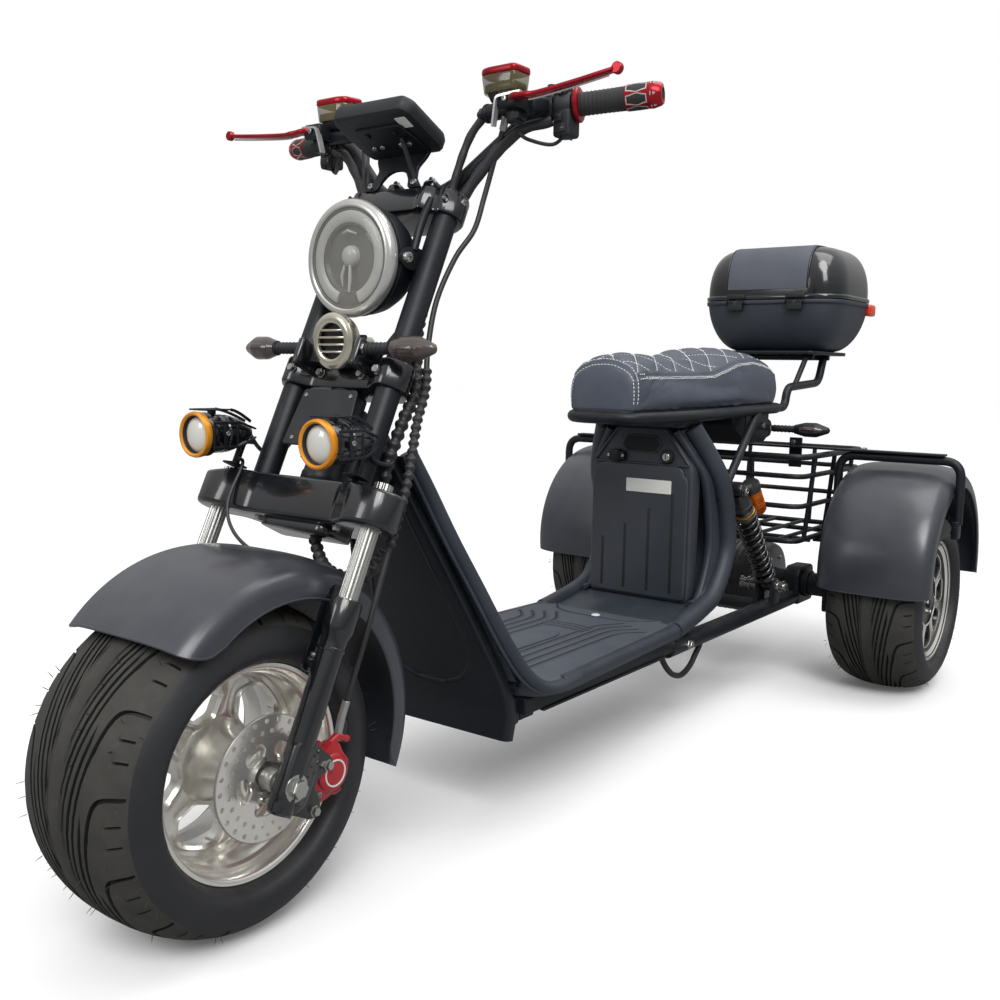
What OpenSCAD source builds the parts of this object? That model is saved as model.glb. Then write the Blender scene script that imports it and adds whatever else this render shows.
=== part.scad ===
// Three-wheeled electric cargo scooter: raked twin-tube fork, low deck, upright battery, long seat,
// wire basket between the rear wheels and a lidded top case.
// Millimetres. +X forward, +Y to the rider's left, +Z up, origin on the floor below the middle.

/* [Vehicle] */
// Distance from the front axle to the rear axle
wheelbase = 1690; // [1500:5:1900]
// Distance between the middles of the two rear tyres
rear_track = 750; // [700:5:860]
// Lean of the steering axis from upright, degrees
rake = 25.5; // [20:0.5:30]
// Back of the top case behind the rear axle
case_overhang = 340; // [300:5:420]

/* [Wheels] */
// Radius of the front tyre
front_tyre_r = 217; // [205:1:230]
// Width of the front tyre
front_tyre_w = 225; // [190:1:228]
// Radius of the rear tyres
rear_tyre_r = 213; // [200:1:222]
// Width of the rear tyres
rear_tyre_w = 215; // [180:1:220]
// Radius of the rim flanges
rim_r = 139; // [132:1:144]
// Radius of the seat of the tyre on the rim
bead_r = 127; // [120:1:129]
// Half the width between the rim flanges
bead_half = 83; // [70:1:90]
// Number of windows in the front rim
front_windows = 5; // [3:1:8]
// Number of windows in each rear rim
rear_windows = 8; // [5:1:12]
// Radius of the front brake disc
disc_r = 80; // [70:1:95]

/* [Fork] */
// Fork legs from the middle plane
fork_half = 150; // [148:1:165]
// Radius of the fork sliders
slider_r = 17; // [14:0.5:19]
// Radius of the chrome fork tubes
stanchion_r = 13; // [11:0.5:15]
// Upper tubes from the middle plane
tube_half = 92; // [86:1:100]
// Radius of the upper tubes
tube_r = 18; // [14:0.5:20]
// Underside of the fork bridge above the axle, along the fork
bridge_low = 318; // [300:1:340]
// Height of the fork bridge
bridge_h = 72; // [50:1:90]
// Underside of the upper yoke above the axle, along the fork
yoke_low = 530; // [510:1:560]
// Underside of the top clamp above the axle, along the fork
clamp_low = 800; // [760:1:830]
// Half the width of the front mudguard
mudguard_half = 124; // [121:1:126]

/* [Controls] */
// Half the width over the ends of the grips
grip_reach = 365; // [330:1:400]
// Height of the grips
grip_z = 1100; // [1040:1:1140]
// Radius of the handlebar tube
bar_r = 11; // [10:0.5:13]
// Radius of the headlight rim
lamp_r = 82; // [70:1:90]
// Width of the display
display_w = 140; // [100:1:160]

/* [Deck and seat] */
// Height of the deck floor
deck_z = 235; // [220:1:260]
// Half the width of the deck at its front
deck_front_half = 186; // [160:1:200]
// Half the width of the deck at its back
deck_rear_half = 158; // [152:1:180]
// Half the width of the battery
battery_half = 119; // [100:1:124]
// Half the width of the battery tub
tub_half = 130; // [128:1:140]
// Middle of the seat tube above the floor
loop_z = 640; // [636:1:680]
// Half the width of the seat tube loop
loop_half = 120; // [110:1:130]
// Height of the seat cushion at its highest place
seat_h = 124; // [100:1:150]
// Half the width of the back of the cushion
seat_half = 132; // [110:1:150]

/* [Rear] */
// Radius of the rear mudguards
guard_r = 243; // [236:1:260]
// Half the width of a rear mudguard
guard_half = 125; // [118:1:128]
// Half the width of the basket
basket_half = 220; // [180:1:221]
// Floor of the basket
basket_z = 335; // [330:1:360]
// Height of the basket
basket_h = 210; // [150:1:240]
// Length of the basket
basket_l = 420; // [360:1:430]
// Half the width of the top case
case_half = 187; // [160:1:220]
// Length of the top case
case_l = 300; // [260:1:340]
// Underside of the top case
case_z = 785; // [770:1:820]
// Height of the lower half of the top case
case_base_h = 126; // [100:1:150]
// Height of the lid of the top case
case_lid_h = 133; // [100:1:160]
// Wall of the top case
case_wall = 4; // [3:0.5:6]

/* [Hidden] */
$fn = 64;
eps_cut = 2;
fit = 0.3;
half_share = 0.5;
tube_sides = 20;
bend_rings = 6;

// Main places
length_all = front_tyre_r + wheelbase + case_overhang;
front_axle_x = length_all * half_share - front_tyre_r;
rear_axle_x = front_axle_x - wheelbase;
wheel_y = rear_track * half_share;
bridge_top = bridge_low + bridge_h;

// Tyres and rims
wall_r = 150;
shoulder_r = 36;
barrel_r = 116;
flange_t = 5;
axle_r = 8;
spindle_r = 12.5;
hub_r = 36;
hub_back = 70;
hub_gap = 0.5;
web_t = 22;
web_y = 8;
window_in = 46;
window_out = 108;
window_share = 0.62;
rear_web_y = 52;
rear_hub_r = 44;
rear_hub_len = 118;
rear_window_share = 0.5;
disc_y = 110;
disc_t = 4;
disc_hole_r = 20;
disc_window_in = 34;
disc_window_out = 52;
disc_window_share = 0.6;

// Fork, along the steering axis from the front axle
stem_back = 30;
stem_r = 15;
tube_back = 12;
slider_low = -35;
slider_top = 235;
collar_r = 21;
collar_low = 196;
stanchion_low = 60;
axle_over = 26;
axle_end = fork_half + axle_over;
axle_head_r = 13;
axle_head_t = 9;
foot_r = 24;
foot_w = 34;
spacer_r = 14;
wing_r = 32;
bridge_half = 112;
bridge_front = 8;
bridge_back = 70;
wing_bar = 24;
yoke_h = 40;
yoke_ring_r = 25;
yoke_front = 5;
yoke_back = 58;
ear_low = 545;
ear_top = 588;
ear_front = 40;
ear_in = 52;
ear_out = 62;
clamp_h = 38;
clamp_ring_r = 24;
clamp_front = 22;
clamp_back = 50;
head_r = 27;
head_gap = 2;
stem_gap = 1;
lug_low = -35;
lug_top = 20;
lug_back = 72;
lug_inset = 13;
lug_y = fork_half - lug_inset;
lug_t = 8;

// Brake caliper
caliper_front = 50;
caliper_back = 116;
caliper_low = 172;
caliper_top = 238;
caliper_in = 97;
caliper_slot_in = 106;
caliper_slot_out = 118;
caliper_rim = 5;

// Front mudguard, round a middle set behind and above the axle
mudguard_back = 40;
mudguard_up = 38;
mudguard_r = 231;
mudguard_t = 4;
mudguard_corner = 40;
mudguard_skirt = 44;
mudguard_from = 41;
mudguard_to = 205;
mudguard_boss_r = 8;
mudguard_boss_s = 150;
mudguard_tab = 13;
mudguard_tab_top = 247;

// Headlight, horn, signals and spotlights
lamp_x = 251;
lamp_z = 875;
lamp_rim_t = 14;
lamp_rim_in = 72;
bucket_r = 78;
bucket_l = 26;
bucket_cone = 54;
bucket_back_r = 40;
lens_t = 8;
arm_in = 79;
arm_out = 85;
arm_h = 22;
arm_front = 262;
arm_back = 318;
horn_x = 220;
horn_z = 758;
horn_r = 40;
horn_t = 24;
horn_pin_r = 8;
horn_pin_l = 60;
post_front = 10;
post_t = 6;
post_half = 14;
post_h = 46;
signal_back = 222;
signal_z = 748;
stalk_r = 7;
stalk_in = 62.3;
stalk_out = 112;
signal_r = 17;
signal_out = 186;
spot_back = 77;
spot_half = 120;
spot_z = 626;
spot_ring_r = 32;
spot_ring_t = 12;
spot_r = 27;
spot_l = 96;
spot_post_front = 34;
spot_post_back = 14;
spot_post_in = 112;
spot_post_out = 128;
spot_post_top = 440;

// Handlebar and controls
bar_bend = 40;
bar_mid_back = 395;
bar_mid_z = 975;
bar_mid_half = 60;
bar_knee = [440, 190, 1090];
bar_end_back = 488;
bar_short = 8;
bar_clamp_y = 35;
bar_clamp_w = 24;
bar_clamp_s = 872;
bar_clamp_front = 12;
bar_clamp_back = 48;
grip_r = 16;
grip_inner = 246;
grip_flange_r = 22;
grip_flange_t = 5;
grip_end_r = 18;
bracket_from = 204;
bracket_to = 216;
bracket_r = 17;
bracket_in = 204;
bracket_out = 216;
bracket_low = 1082;
bracket_high = 1099;
bracket_tip = 361;
pocket_out = 208;
cup_at = [398, 176, 1096];
cup_r = 16;
cup_low = 1088;
cup_top = 1140;
lever_at = [372, 202, 1090];
lever_tip = [352, 374, 1097];
lever_pin_r = 9;
lever_r = 5;
lever_ball_r = 8;
lever_eye_h = 7;
mirror_r = 9;
mirror_hole_r = 4;
mirror_depth = 14;
mirror_top = 1118;
switch_from = 221.2;
switch_to = 238;
switch_x = 42;
switch_up = 20;
switch_down = 30;
display_front = 112;
display_rear = 12;
display_s = 900;
display_t = 22;
display_corner = 10;
stay_front = 21;
stay_t = 5;
stay_half = 45;
stay_hole_r = 16;

// Frame and deck
neck_rings = [[296, 60, 594], [375, 110, 392], [432, 150, 250], [446, 160, 150]];
neck_depth = 46;
gusset_half = 24;
gusset = [[-46, 398], [-46, 516], [-118, 502], [-150, 460], [-140, 420], [-110, 398]];
deck_t = 28;
deck_front = 484.5;
deck_rear = 1003;
deck_corner = 40;
rail_half = 140;
rail_w = 34;
rail_low = 178;
rail_rear = 1000;
rail_cross = [520, 740, 960];
rail_cross_w = 40;
rail_cross_low = 165;
tail_rail_r = 19;
tail_rail_z = 183;
rail_ahead = 50;
tail_rail_end = wheelbase - rail_ahead;
tail_cross = [1120, 1505];
tail_cross_r = 14;
lug_pin_r = 7;

// Battery tub: the middle line of its curved wall, back from the front axle and up
tub_line = [[1004.3, 222], [1120, 244], [1175, 262], [1232, 345], [1225, 420], [1190, 510], [1134, 619]];
tub_t = 8;
tub_shoulder = 500;
tub_top = 621;
tub_top_half = 72;
tub_plate_from = 1074;
tub_plate_to = 1200;
roll_r = 20;
roll_bend = 45;
roll_y = tub_half + roll_r + fit;
roll_line = [[1007, 0, 222.7], [1118, 0, 243], [1180, 0, 268], [1232, 0, 345], [1226, 0, 420], [1194,
    1, 506],
    [1145, -45, 600]];
battery_front = 1118;
battery_line = [[1118, 248.2], [1155, 260.2], [1205, 335], [1202, 412], [1168, 500], [1126, 598]];
battery_shoulder = 529;
battery_top = 612;
battery_top_half = 60;
slot_half = 42;
slot_h = 26;
slot_z = 548;
slot_deep = 30;
groove_xs = [-66, -34, 34, 66];
groove_w = 10;
groove_deep = 6;
groove_low = 275;
groove_tops = [420, 470, 470, 420];

// Seat and its tubes
loop_r = 12;
loop_bend = 55;
loop_front = 930;
loop_nose_half = 72;
loop_wide = 1100;
loop_rear = 1585;
strut_r = 9;
strut_back = 1433;
shock_cross = [1284, 486];
strut_foot = [1206, 149.6, 474];
seat_gap = 0.3;
seat_fronts = [925, 940, 1010, 1110, 1220, 1330, 1440, 1530, 1566, 1574];
seat_half_shares = [0.42, 0.6, 0.7, 0.78, 0.88, 0.97, 1, 0.97, 0.88, 0.72];
seat_h_shares = [0.35, 0.8, 0.9, 0.86, 0.86, 0.96, 0.98, 0.8, 0.6, 0.4];
seat_edge_share = 0.62;
tail_box_front = 1352;
tail_box_rear = 1556;
tail_box_half = 98;
tail_box_low = 566;
tail_lamp_rear = 1612;
tail_lamp_half = 92;
tail_lamp_h = 46;
rear_stalk_z = 597;
rear_stalk_back = 1588;
rear_stalk_mid = 150;
rear_signal_out = 233;

// Suspension
shock_y = 135;
shock_top = [1310, 473];
shock_low = [1505, 234];
shock_eye_r = 13;
shock_eye_half = 14;
shock_rod_r = 9;
spring_r = 26;
spring_share = 0.66;
spring_low_share = 0.1;
shock_can_r = 12;
shock_can_l = 90;
shock_can_off = 26;
shock_pin_r = 6;
shock_plate_in = 104;
shock_plate_t = 8;
shock_plate = [[1234.8, 366], [1229.7, 421], [1198.8, 500], [1330, 500], [1334, 462], [1300, 448]];
shock_lug = [[1480, 190], [1488, 250], [1522, 250], [1530, 190]];
lug_half = 4;

// Rear axle
beam_r = 28;
beam_inset = 139;
beam_half = wheel_y - beam_inset;
spindle_over = 65;
spindle_half = wheel_y + spindle_over;
motor_r = 92;
motor_half = 78;
plate_inset = 151;
plate_in = wheel_y - plate_inset;
plate_t = 8.7;
plate_ahead = 54;
plate_front = wheelbase - plate_ahead;
plate_behind = 50;
plate_rear = wheelbase + plate_behind;
plate_low = 160;
flange_bearing = 32;
plate_flange_in = basket_half - flange_bearing;
plate_flange_t = 8;
rail_plate_in = 121;
rail_plate_out = 159;
rail_plate_t = 16;

// Rear mudguards and their hoops
guard_back = 15;
guard_up = 70;
guard_offset = 5;
guard_y = wheel_y + guard_offset;
guard_t = 4;
guard_corner = 42;
guard_skirt = 46;
guard_from = -8;
guard_to = 188;
hoop_r = 10;
hoop_ahead = 50;
hoop_back = wheelbase - hoop_ahead;
hoop_inset = 132;
hoop_in = wheel_y - hoop_inset;
hoop_over = 140.3;
hoop_out = wheel_y + hoop_over;
hoop_z = 540;
hoop_low = 262;
hoop_end = 402;
hoop_bend = 32;
hoop_foot = 14;
hoop_foot_h = 34;
strap_over = 105;
strap_half = wheel_y + strap_over;
strap_w = 30;
strap_t = 5;

// Basket
basket_ahead = 210;
basket_front = wheelbase - basket_ahead;
basket_bar_r = 6;
basket_wire_r = 3;
basket_wires = 5;
basket_gap = 0.4;
basket_lift = 0.3;
wall_clear = basket_bar_r + basket_bar_r + basket_bar_r + basket_bar_r + basket_gap + basket_gap;

// Top case
case_corner = 88;
case_floor = 5;
case_split = 2;
case_x = rear_axle_x - case_overhang;
rack_t = 9;
rack_half = 132;
rack_lead = 48;
rack_front = wheelbase + rack_lead;
rack_trail = 295;
rack_rear = wheelbase + rack_trail;
rack_tube_r = 10;
rack_knee = 35;
rack_step = 43;
rack_rise = 52;
rack_tail = [161, 705];
rack_head = [192, 779];
rack_start = loop_rear + loop_r + fit;
rack_line = [[rack_start, loop_z], [rack_start - fit + rack_knee, loop_z],
    [rack_start - fit + rack_step, loop_z + rack_rise], [wheelbase + rack_tail[0], rack_tail[1]],
    [wheelbase + rack_head[0], rack_head[1]]];
rack_y = 104;
rack_bend = 28;
brace_low = 700;
brace_lead = 78;
rack_brace = [[wheelbase, brace_low], [wheelbase + brace_lead, rack_head[1]]];
reflector_y = 60;
reflector_h = 38;
reflector_t = 6;
reflector_half = 24;
hinge_y = 70;
hinge_half = 22;
hinge_x_off = 9;
hinge_pin_r = 3;
hinge_ring_r = 7;
hinge_mid = 7;
hinge_side = 8;
hinge_gap = 0.5;
hinge_block_t = 14;
hinge_block_low = 868;
hinge_drop = 16;
hinge_step = 5;

// Cables, routes as points
hose_r = 4;
hose_sides = 10;
hose_route = [[-86, 127, 66.5], [-76, 132, 96], [-66, 140, 140], [-56, 148, 190], [-50, 151, 240],
    [-46, 152, 290], [-44, 151, 340], [-44, 148, 400], [-44, 140, 450], [-44, 130, 500], [-44, 126, 550],
    [-36, 114, 610], [-30, 108, 680], [-34, 113, 750], [-42, 124, 800], [-38, 127, 850], [-28, 134, 890],
    [-14, 145, 920], [0, 157, 938], [12, 166, 946]];
lead_r = 6;
lead_route = [[980.3, 108, 180], [998, 108, 178], [1014, 109, 170], [1030, 111, 154], [1048, 114, 130],
    [1068, 118, 112],
    [1092, 122, 104], [1118, 122, 106], [1142, 123, 118], [1160, 124, 136], [1169, 126, 148], [1173,
        128, 159]];

// Place a distance behind the front axle
function behind(d) = front_axle_x - d;

// Point given as distance behind the front axle, side and height
function place(p) = [behind(p[0]), p[1], p[2]];

function unit(v) = v / norm(v);

function flip(p) = [p[0], -p[1], p[2]];

// Straight round bar between two points
module rod(a, b, r) {
    d = b - a;
    translate(a)
        rotate([0, acos(d[2] / norm(d)), atan2(d[1], d[0])])
            cylinder(r = r, h = norm(d));
}

// Angle turned at a point of a path, and the length the bend takes from each side
function turn_at(p, i) = acos(max(-1, min(1, unit(p[i] - p[i - 1]) * unit(p[i + 1] - p[i]))));
function cut_at(p, i, bend) = (i == 0 || i == len(p) - 1) ? 0 : bend * tan(turn_at(p, i) * half_share);

// Bent round tube through points, with one bend radius
module bent_tube(p, r, bend) {
    for (i = [0 : len(p) - 2]) {
        d = unit(p[i + 1] - p[i]);
        rod(p[i] + d * cut_at(p, i, bend), p[i + 1] - d * cut_at(p, i + 1, bend), r);
    }
    for (i = [1 : len(p) - 2]) {
        ey = unit(p[i] - p[i - 1]);
        out = unit(p[i + 1] - p[i]);
        inward = unit(out - ey * (ey * out));
        c = p[i] - ey * cut_at(p, i, bend) + inward * bend;
        ex = -inward;
        ez = cross(ex, ey);
        multmatrix([[ex[0], ey[0], ez[0], c[0]], [ex[1], ey[1], ez[1], c[1]], [ex[2], ey[2], ez[2],
            c[2]]])
            rotate_extrude(angle = turn_at(p, i))
                translate([bend, 0])
                    circle(r = r);
    }
}

// Rectangle about the middle with round corners
module round_rect(w, h, r) {
    square([w - r - r, h], center = true);
    square([w, h - r - r], center = true);
    for (sx = [-1, 1], sy = [-1, 1])
        translate([sx * (w * half_share - r), sy * (h * half_share - r)])
            circle(r = r);
}

// Solid through rings of points, all rings with one count; a closed one joins its last ring to its first
module loft(rings, closed = false) {
    n = len(rings[0]);
    m = len(rings);
    pts = [for (ring = rings) for (q = ring) q];
    sides = [for (i = [0 : closed ? m - 1 : m - 2]) for (j = [0 : n - 1]) for (k = [0, 1])
        k == 0 ? [i * n + j, i * n + (j + 1) % n, (i + 1) % m * n + j]
               : [i * n + (j + 1) % n, (i + 1) % m * n + (j + 1) % n, (i + 1) % m * n + j]];
    first = [for (j = [1 : n - 2]) [0, j + 1, j]];
    last = [for (j = [1 : n - 2]) [(m - 1) * n, (m - 1) * n + j, (m - 1) * n + j + 1]];
    polyhedron(points = pts, faces = closed ? sides : concat(sides, first, last));
}

// Bent tube whose bends lie at any angle, as rings of points turned from one guide direction
module swept_tube(p, r, bend, guide, closed) {
    last = len(p) - 1;
    q = closed ? concat([p[last - 1]], p, [p[1]]) : p;
    n = len(q) - 1;
    stops = [for (i = [1 : n - 1]) let (e = unit(q[i] - q[i - 1]), o = unit(q[i + 1] - q[i]),
        turn = turn_at(q, i))
        for (k = [0 : turn > 1 ? bend_rings : 0]) let (f = k / bend_rings,
            w = turn > 1 ? unit(o - e * (e * o)) : guide,
            c = q[i] - e * cut_at(q, i, bend) + w * bend, a = turn * f)
            turn > 1 ? [c - w * bend * cos(a) + e * bend * sin(a), e * cos(a) + w * sin(a)] : [q[i], e]];
    ends = closed ? [for (i = [1 : len(stops) - 1]) stops[i]]
        : concat([[q[0], unit(q[1] - q[0])]], stops, [[q[n], unit(q[n] - q[n - 1])]]);
    loft([for (s = ends) let (a = unit(cross(guide, s[1])), b = cross(s[1], a))
        [for (j = [0 : tube_sides - 1]) s[0] +
            (a * cos(360 * j / tube_sides) - b * sin(360 * j / tube_sides)) * r]], closed);
}

// Round cable through hand-picked points
module cable(p, r, sides) {
    function along(i) = unit(p[min(i + 1, len(p) - 1)] - p[max(i - 1, 0)]);
    function side(t) = unit(cross(t, [1, 0, 0] * t > 0.9 ? [0, 1, 0] : [0.3, 1, 0.2]));
    rings = [for (i = [0 : len(p) - 1]) let (t = along(i), a = side(t), b = cross(t, a))
        [for (j = [0 : sides - 1]) p[i] - (a * cos(360 * j / sides) + b * -sin(360 * j / sides)) * r]];
    loft(rings);
}

// Frame of the fork: front axle at the middle, Z along the steering axis
module on_fork() {
    translate([front_axle_x, 0, front_tyre_r])
        rotate([0, -rake, 0])
            children();
}

// Box from low corner to high corner
module box(a, b) {
    translate(a)
        cube(b - a);
}

// Turned shape whose axis lies along +Y
module lathe_y() {
    rotate([-90, 0, 0])
        rotate_extrude()
            children();
}

// Tyre section, radius across and width up
module tyre_section(r, w) {
    translate([(r + wall_r) * half_share, 0])
        round_rect(r - wall_r, w, min(shoulder_r, (r - wall_r) * half_share - fit));
    translate([bead_r, -bead_half])
        square([wall_r + shoulder_r - bead_r, bead_half + bead_half]);
}

// Flat plate in the side plane, from its points behind the axle and up, between two sides
module side_plate(p, y0, y1) {
    translate([0, y1, 0])
        rotate([90, 0, 0])
            linear_extrude(height = y1 - y0)
                polygon([for (q = p) [behind(q[0]), q[1]]]);
}

// Ring of windows between two radii, as wedges with flat sides
module windows(count, r_in, r_out, open_share, half_w) {
    open = 180 / count * open_share;
    for (i = [0 : count - 1])
        rotate([0, 360 * i / count, 0])
            rotate([90, 0, 0])
                linear_extrude(height = half_w + half_w, center = true)
                    polygon([[-sin(open) * r_in, cos(open) * r_in], [-sin(open) * r_out,
                        cos(open) * r_out],
                        [0, r_out], [sin(open) * r_out, cos(open) * r_out], [sin(open) * r_in,
                            cos(open) * r_in]]);
}

// Rim barrel with its two flanges
module barrel() {
    lathe_y() {
        translate([barrel_r, -bead_half])
            square([bead_r - fit - barrel_r, bead_half + bead_half]);
        for (low = [-bead_half - flange_t, bead_half])
            translate([barrel_r, low])
                square([rim_r - barrel_r, flange_t]);
    }
}

module front_tyre() {
    color("#1b1b1c")
        translate([front_axle_x, 0, front_tyre_r])
            lathe_y()
                tyre_section(front_tyre_r, front_tyre_w);
}

module front_rim() {
    color("#b9bcc0")
        translate([front_axle_x, 0, front_tyre_r])
            difference() {
                union() {
                    barrel();
                    difference() {
                        translate([0, web_y, 0])
                            rotate([-90, 0, 0])
                                cylinder(r = barrel_r + fit, h = web_t);
                        windows(front_windows, window_in, window_out, window_share, bead_half);
                    }
                    translate([0, -hub_back, 0])
                        rotate([-90, 0, 0])
                            cylinder(r = hub_r, h = hub_back + disc_y);
                }
                translate([0, -hub_back - eps_cut, 0])
                    rotate([-90, 0, 0])
                        cylinder(r = axle_r + hub_gap, h = hub_back + disc_y + eps_cut + eps_cut);
            }
}

module front_disc() {
    color("#8d9094")
        translate([front_axle_x, disc_y, front_tyre_r])
            difference() {
                rotate([-90, 0, 0])
                    cylinder(r = disc_r, h = disc_t);
                translate([0, -eps_cut, 0])
                    rotate([-90, 0, 0])
                        cylinder(r = disc_hole_r, h = disc_t + eps_cut + eps_cut);
                windows(front_windows, disc_window_in, disc_window_out, disc_window_share,
                    disc_t + eps_cut);
            }
}

// Rear wheel pieces on one side, 1 for the left and -1 for the right
module rear_tyre(s) {
    color("#1b1b1c")
        translate([rear_axle_x, s * wheel_y, rear_tyre_r])
            lathe_y()
                tyre_section(rear_tyre_r, rear_tyre_w);
}

module rear_rim(s) {
    color("#55585c")
        translate([rear_axle_x, s * wheel_y, rear_tyre_r])
            difference() {
                union() {
                    barrel();
                    mirror([0, s < 0 ? 1 : 0, 0]) {
                        difference() {
                            translate([0, rear_web_y, 0])
                                rotate([-90, 0, 0])
                                    cylinder(r = barrel_r + fit, h = web_t);
                            windows(rear_windows, window_in, window_out, rear_window_share, bead_half);
                        }
                        translate([0, rear_web_y + web_t - rear_hub_len, 0])
                            rotate([-90, 0, 0])
                                cylinder(r = rear_hub_r, h = rear_hub_len);
                    }
                }
                rotate([90, 0, 0])
                    cylinder(r = spindle_r + hub_gap, h = rear_hub_len + rear_hub_len, center = true);
            }
}

module rear_left_tyre() {
    rear_tyre(1);
}

module rear_left_rim() {
    rear_rim(1);
}

module rear_right_tyre() {
    rear_tyre(-1);
}

module rear_right_rim() {
    rear_rim(-1);
}

module fork_sliders() {
    color("#17181a")
        for (s = [-1, 1])
            on_fork()
                translate([0, s * fork_half, 0])
                    difference() {
                        union() {
                            translate([0, 0, slider_low])
                                cylinder(r = slider_r, h = slider_top - slider_low);
                            translate([0, 0, collar_low])
                                cylinder(r = collar_r, h = slider_top - collar_low);
                            rotate([90, 0, 0])
                                cylinder(r = foot_r, h = foot_w, center = true);
                            if (s > 0)
                                box([-lug_back, lug_y - fork_half, lug_low], [0,
                                    lug_y + lug_t - fork_half, lug_top]);
                        }
                        translate([0, 0, stanchion_low])
                            cylinder(r = stanchion_r + fit, h = slider_top);
                        rotate([90, 0, 0])
                            cylinder(r = axle_r + fit, h = axle_end, center = true);
                    }
}

module fork_tubes() {
    color("#d9dbde")
        for (s = [-1, 1])
            on_fork()
                translate([0, s * fork_half, stanchion_low])
                    cylinder(r = stanchion_r, h = bridge_top - stanchion_low);
}

module fork_bridge() {
    color("#1a1b1d")
        on_fork()
            translate([0, 0, bridge_low])
                difference() {
                    union() {
                        box([-bridge_back, -bridge_half, 0], [bridge_front, bridge_half, bridge_h]);
                        box([-wing_bar, -fork_half, 0], [wing_bar, -bridge_half, bridge_h]);
                        box([-wing_bar, bridge_half, 0], [wing_bar, fork_half, bridge_h]);
                        for (s = [-1, 1])
                            translate([0, s * fork_half, 0])
                                cylinder(r = wing_r, h = bridge_h);
                    }
                    for (s = [-1, 1])
                        translate([0, s * fork_half, -eps_cut])
                            cylinder(r = stanchion_r + fit, h = bridge_h + eps_cut + eps_cut);
                }
}

module steering_stem() {
    color("#2a2b2d")
        on_fork()
            translate([-stem_back, 0, bridge_top])
                cylinder(r = stem_r, h = yoke_low - bridge_top);
}

module upper_tubes() {
    color("#1d1e20")
        for (s = [-1, 1])
            on_fork()
                translate([-tube_back, s * tube_half, bridge_top])
                    cylinder(r = tube_r, h = clamp_low + clamp_h - bridge_top);
}

// Yoke body: a plate with a ring round each upper tube
module yoke_body(h, ring_r, front, back) {
    difference() {
        union() {
            box([-back, -tube_half, 0], [front, tube_half, h]);
            for (s = [-1, 1])
                translate([-tube_back, s * tube_half, 0])
                    cylinder(r = ring_r, h = h);
        }
        for (s = [-1, 1])
            translate([-tube_back, s * tube_half, -eps_cut])
                cylinder(r = tube_r + fit, h = h + eps_cut + eps_cut);
    }
}

module upper_yoke() {
    color("#1a1b1d")
        on_fork() {
            translate([0, 0, yoke_low])
                yoke_body(yoke_h, yoke_ring_r, yoke_front - tube_back, yoke_back);
            for (s = [-1, 1])
                mirror([0, s < 0 ? 1 : 0, 0])
                    box([-tube_back, ear_in, ear_low], [ear_front, ear_out, ear_top]);
        }
}

module top_clamp() {
    color("#1a1b1d")
        on_fork()
            translate([0, 0, clamp_low])
                yoke_body(clamp_h, clamp_ring_r, clamp_front, clamp_back);
}

module front_axle() {
    color("#8a8d91")
        translate([front_axle_x, 0, front_tyre_r])
            rotate([90, 0, 0]) {
                cylinder(r = axle_r, h = axle_end + axle_end, center = true);
                for (s = [-1, 1])
                    translate([0, 0, s * (axle_end - axle_head_t * half_share)])
                        cylinder(r = axle_head_r, h = axle_head_t - fit, center = true);
                translate([0, 0, hub_back + fit])
                    cylinder(r = spacer_r, h = fork_half - foot_w * half_share - hub_back - fit - fit);
                translate([0, 0, -fork_half + foot_w * half_share + fit])
                    cylinder(r = spacer_r, h = fork_half - foot_w * half_share - disc_y - fit - fit);
            }
}

// Mudguard shell: a hollow section with open underside, turned part of the way round
module guard_shell(r, half_w, t, corner, skirt, from, to) {
    rotate([90, 0, 0])
        rotate([0, 0, from])
            rotate_extrude(angle = to - from)
                difference() {
                    translate([r - skirt, 0])
                        round_rect(skirt + skirt, half_w + half_w, corner);
                    translate([r - skirt, 0])
                        round_rect(skirt + skirt - t - t, half_w + half_w - t - t, corner - t);
                    translate([r - skirt - skirt - eps_cut, -half_w - eps_cut])
                        square([skirt + eps_cut, half_w + half_w + eps_cut + eps_cut]);
                }
}

module front_mudguard() {
    color("#303133") {
        translate([behind(mudguard_back), 0, front_tyre_r + mudguard_up])
            guard_shell(mudguard_r, mudguard_half, mudguard_t, mudguard_corner, mudguard_skirt,
                mudguard_from,
                mudguard_to);
        on_fork()
            both_sides() {
                box([-mudguard_tab, mudguard_half - mudguard_t, mudguard_boss_s - mudguard_tab],
                    [mudguard_tab, mudguard_half, mudguard_tab_top]);
                translate([0, mudguard_half - mudguard_t, mudguard_boss_s])
                    rotate([-90, 0, 0])
                        cylinder(r = mudguard_boss_r, h = fork_half - slider_r - fit - mudguard_half +
                            mudguard_t);
            }
    }
}

module front_caliper() {
    color("#b01f24")
        difference() {
            box([behind(caliper_back), caliper_in, caliper_low], [behind(caliper_front), lug_y - fit,
                caliper_top]);
            translate([front_axle_x, caliper_slot_in, front_tyre_r])
                rotate([-90, 0, 0])
                    cylinder(r = disc_r + caliper_rim, h = caliper_slot_out - caliper_slot_in);
        }
}

module bar_clamps() {
    color("#1a1b1d")
        difference() {
            on_fork()
                for (s = [-1, 1])
                    translate([0, s * bar_clamp_y, 0])
                        box([-bar_clamp_back, -bar_clamp_w * half_share, clamp_low + clamp_h],
                            [-bar_clamp_front, bar_clamp_w * half_share, bar_clamp_s]);
            rod(bar_points[2], bar_points[3], bar_r + fit);
        }
}

bar_points = [[behind(bar_end_back), -grip_reach + bar_short, grip_z],
    place(flip(bar_knee)),
    [behind(bar_mid_back), -bar_mid_half, bar_mid_z],
    [behind(bar_mid_back), bar_mid_half, bar_mid_z],
    place(bar_knee),
    [behind(bar_end_back), grip_reach - bar_short, grip_z]];

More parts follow.
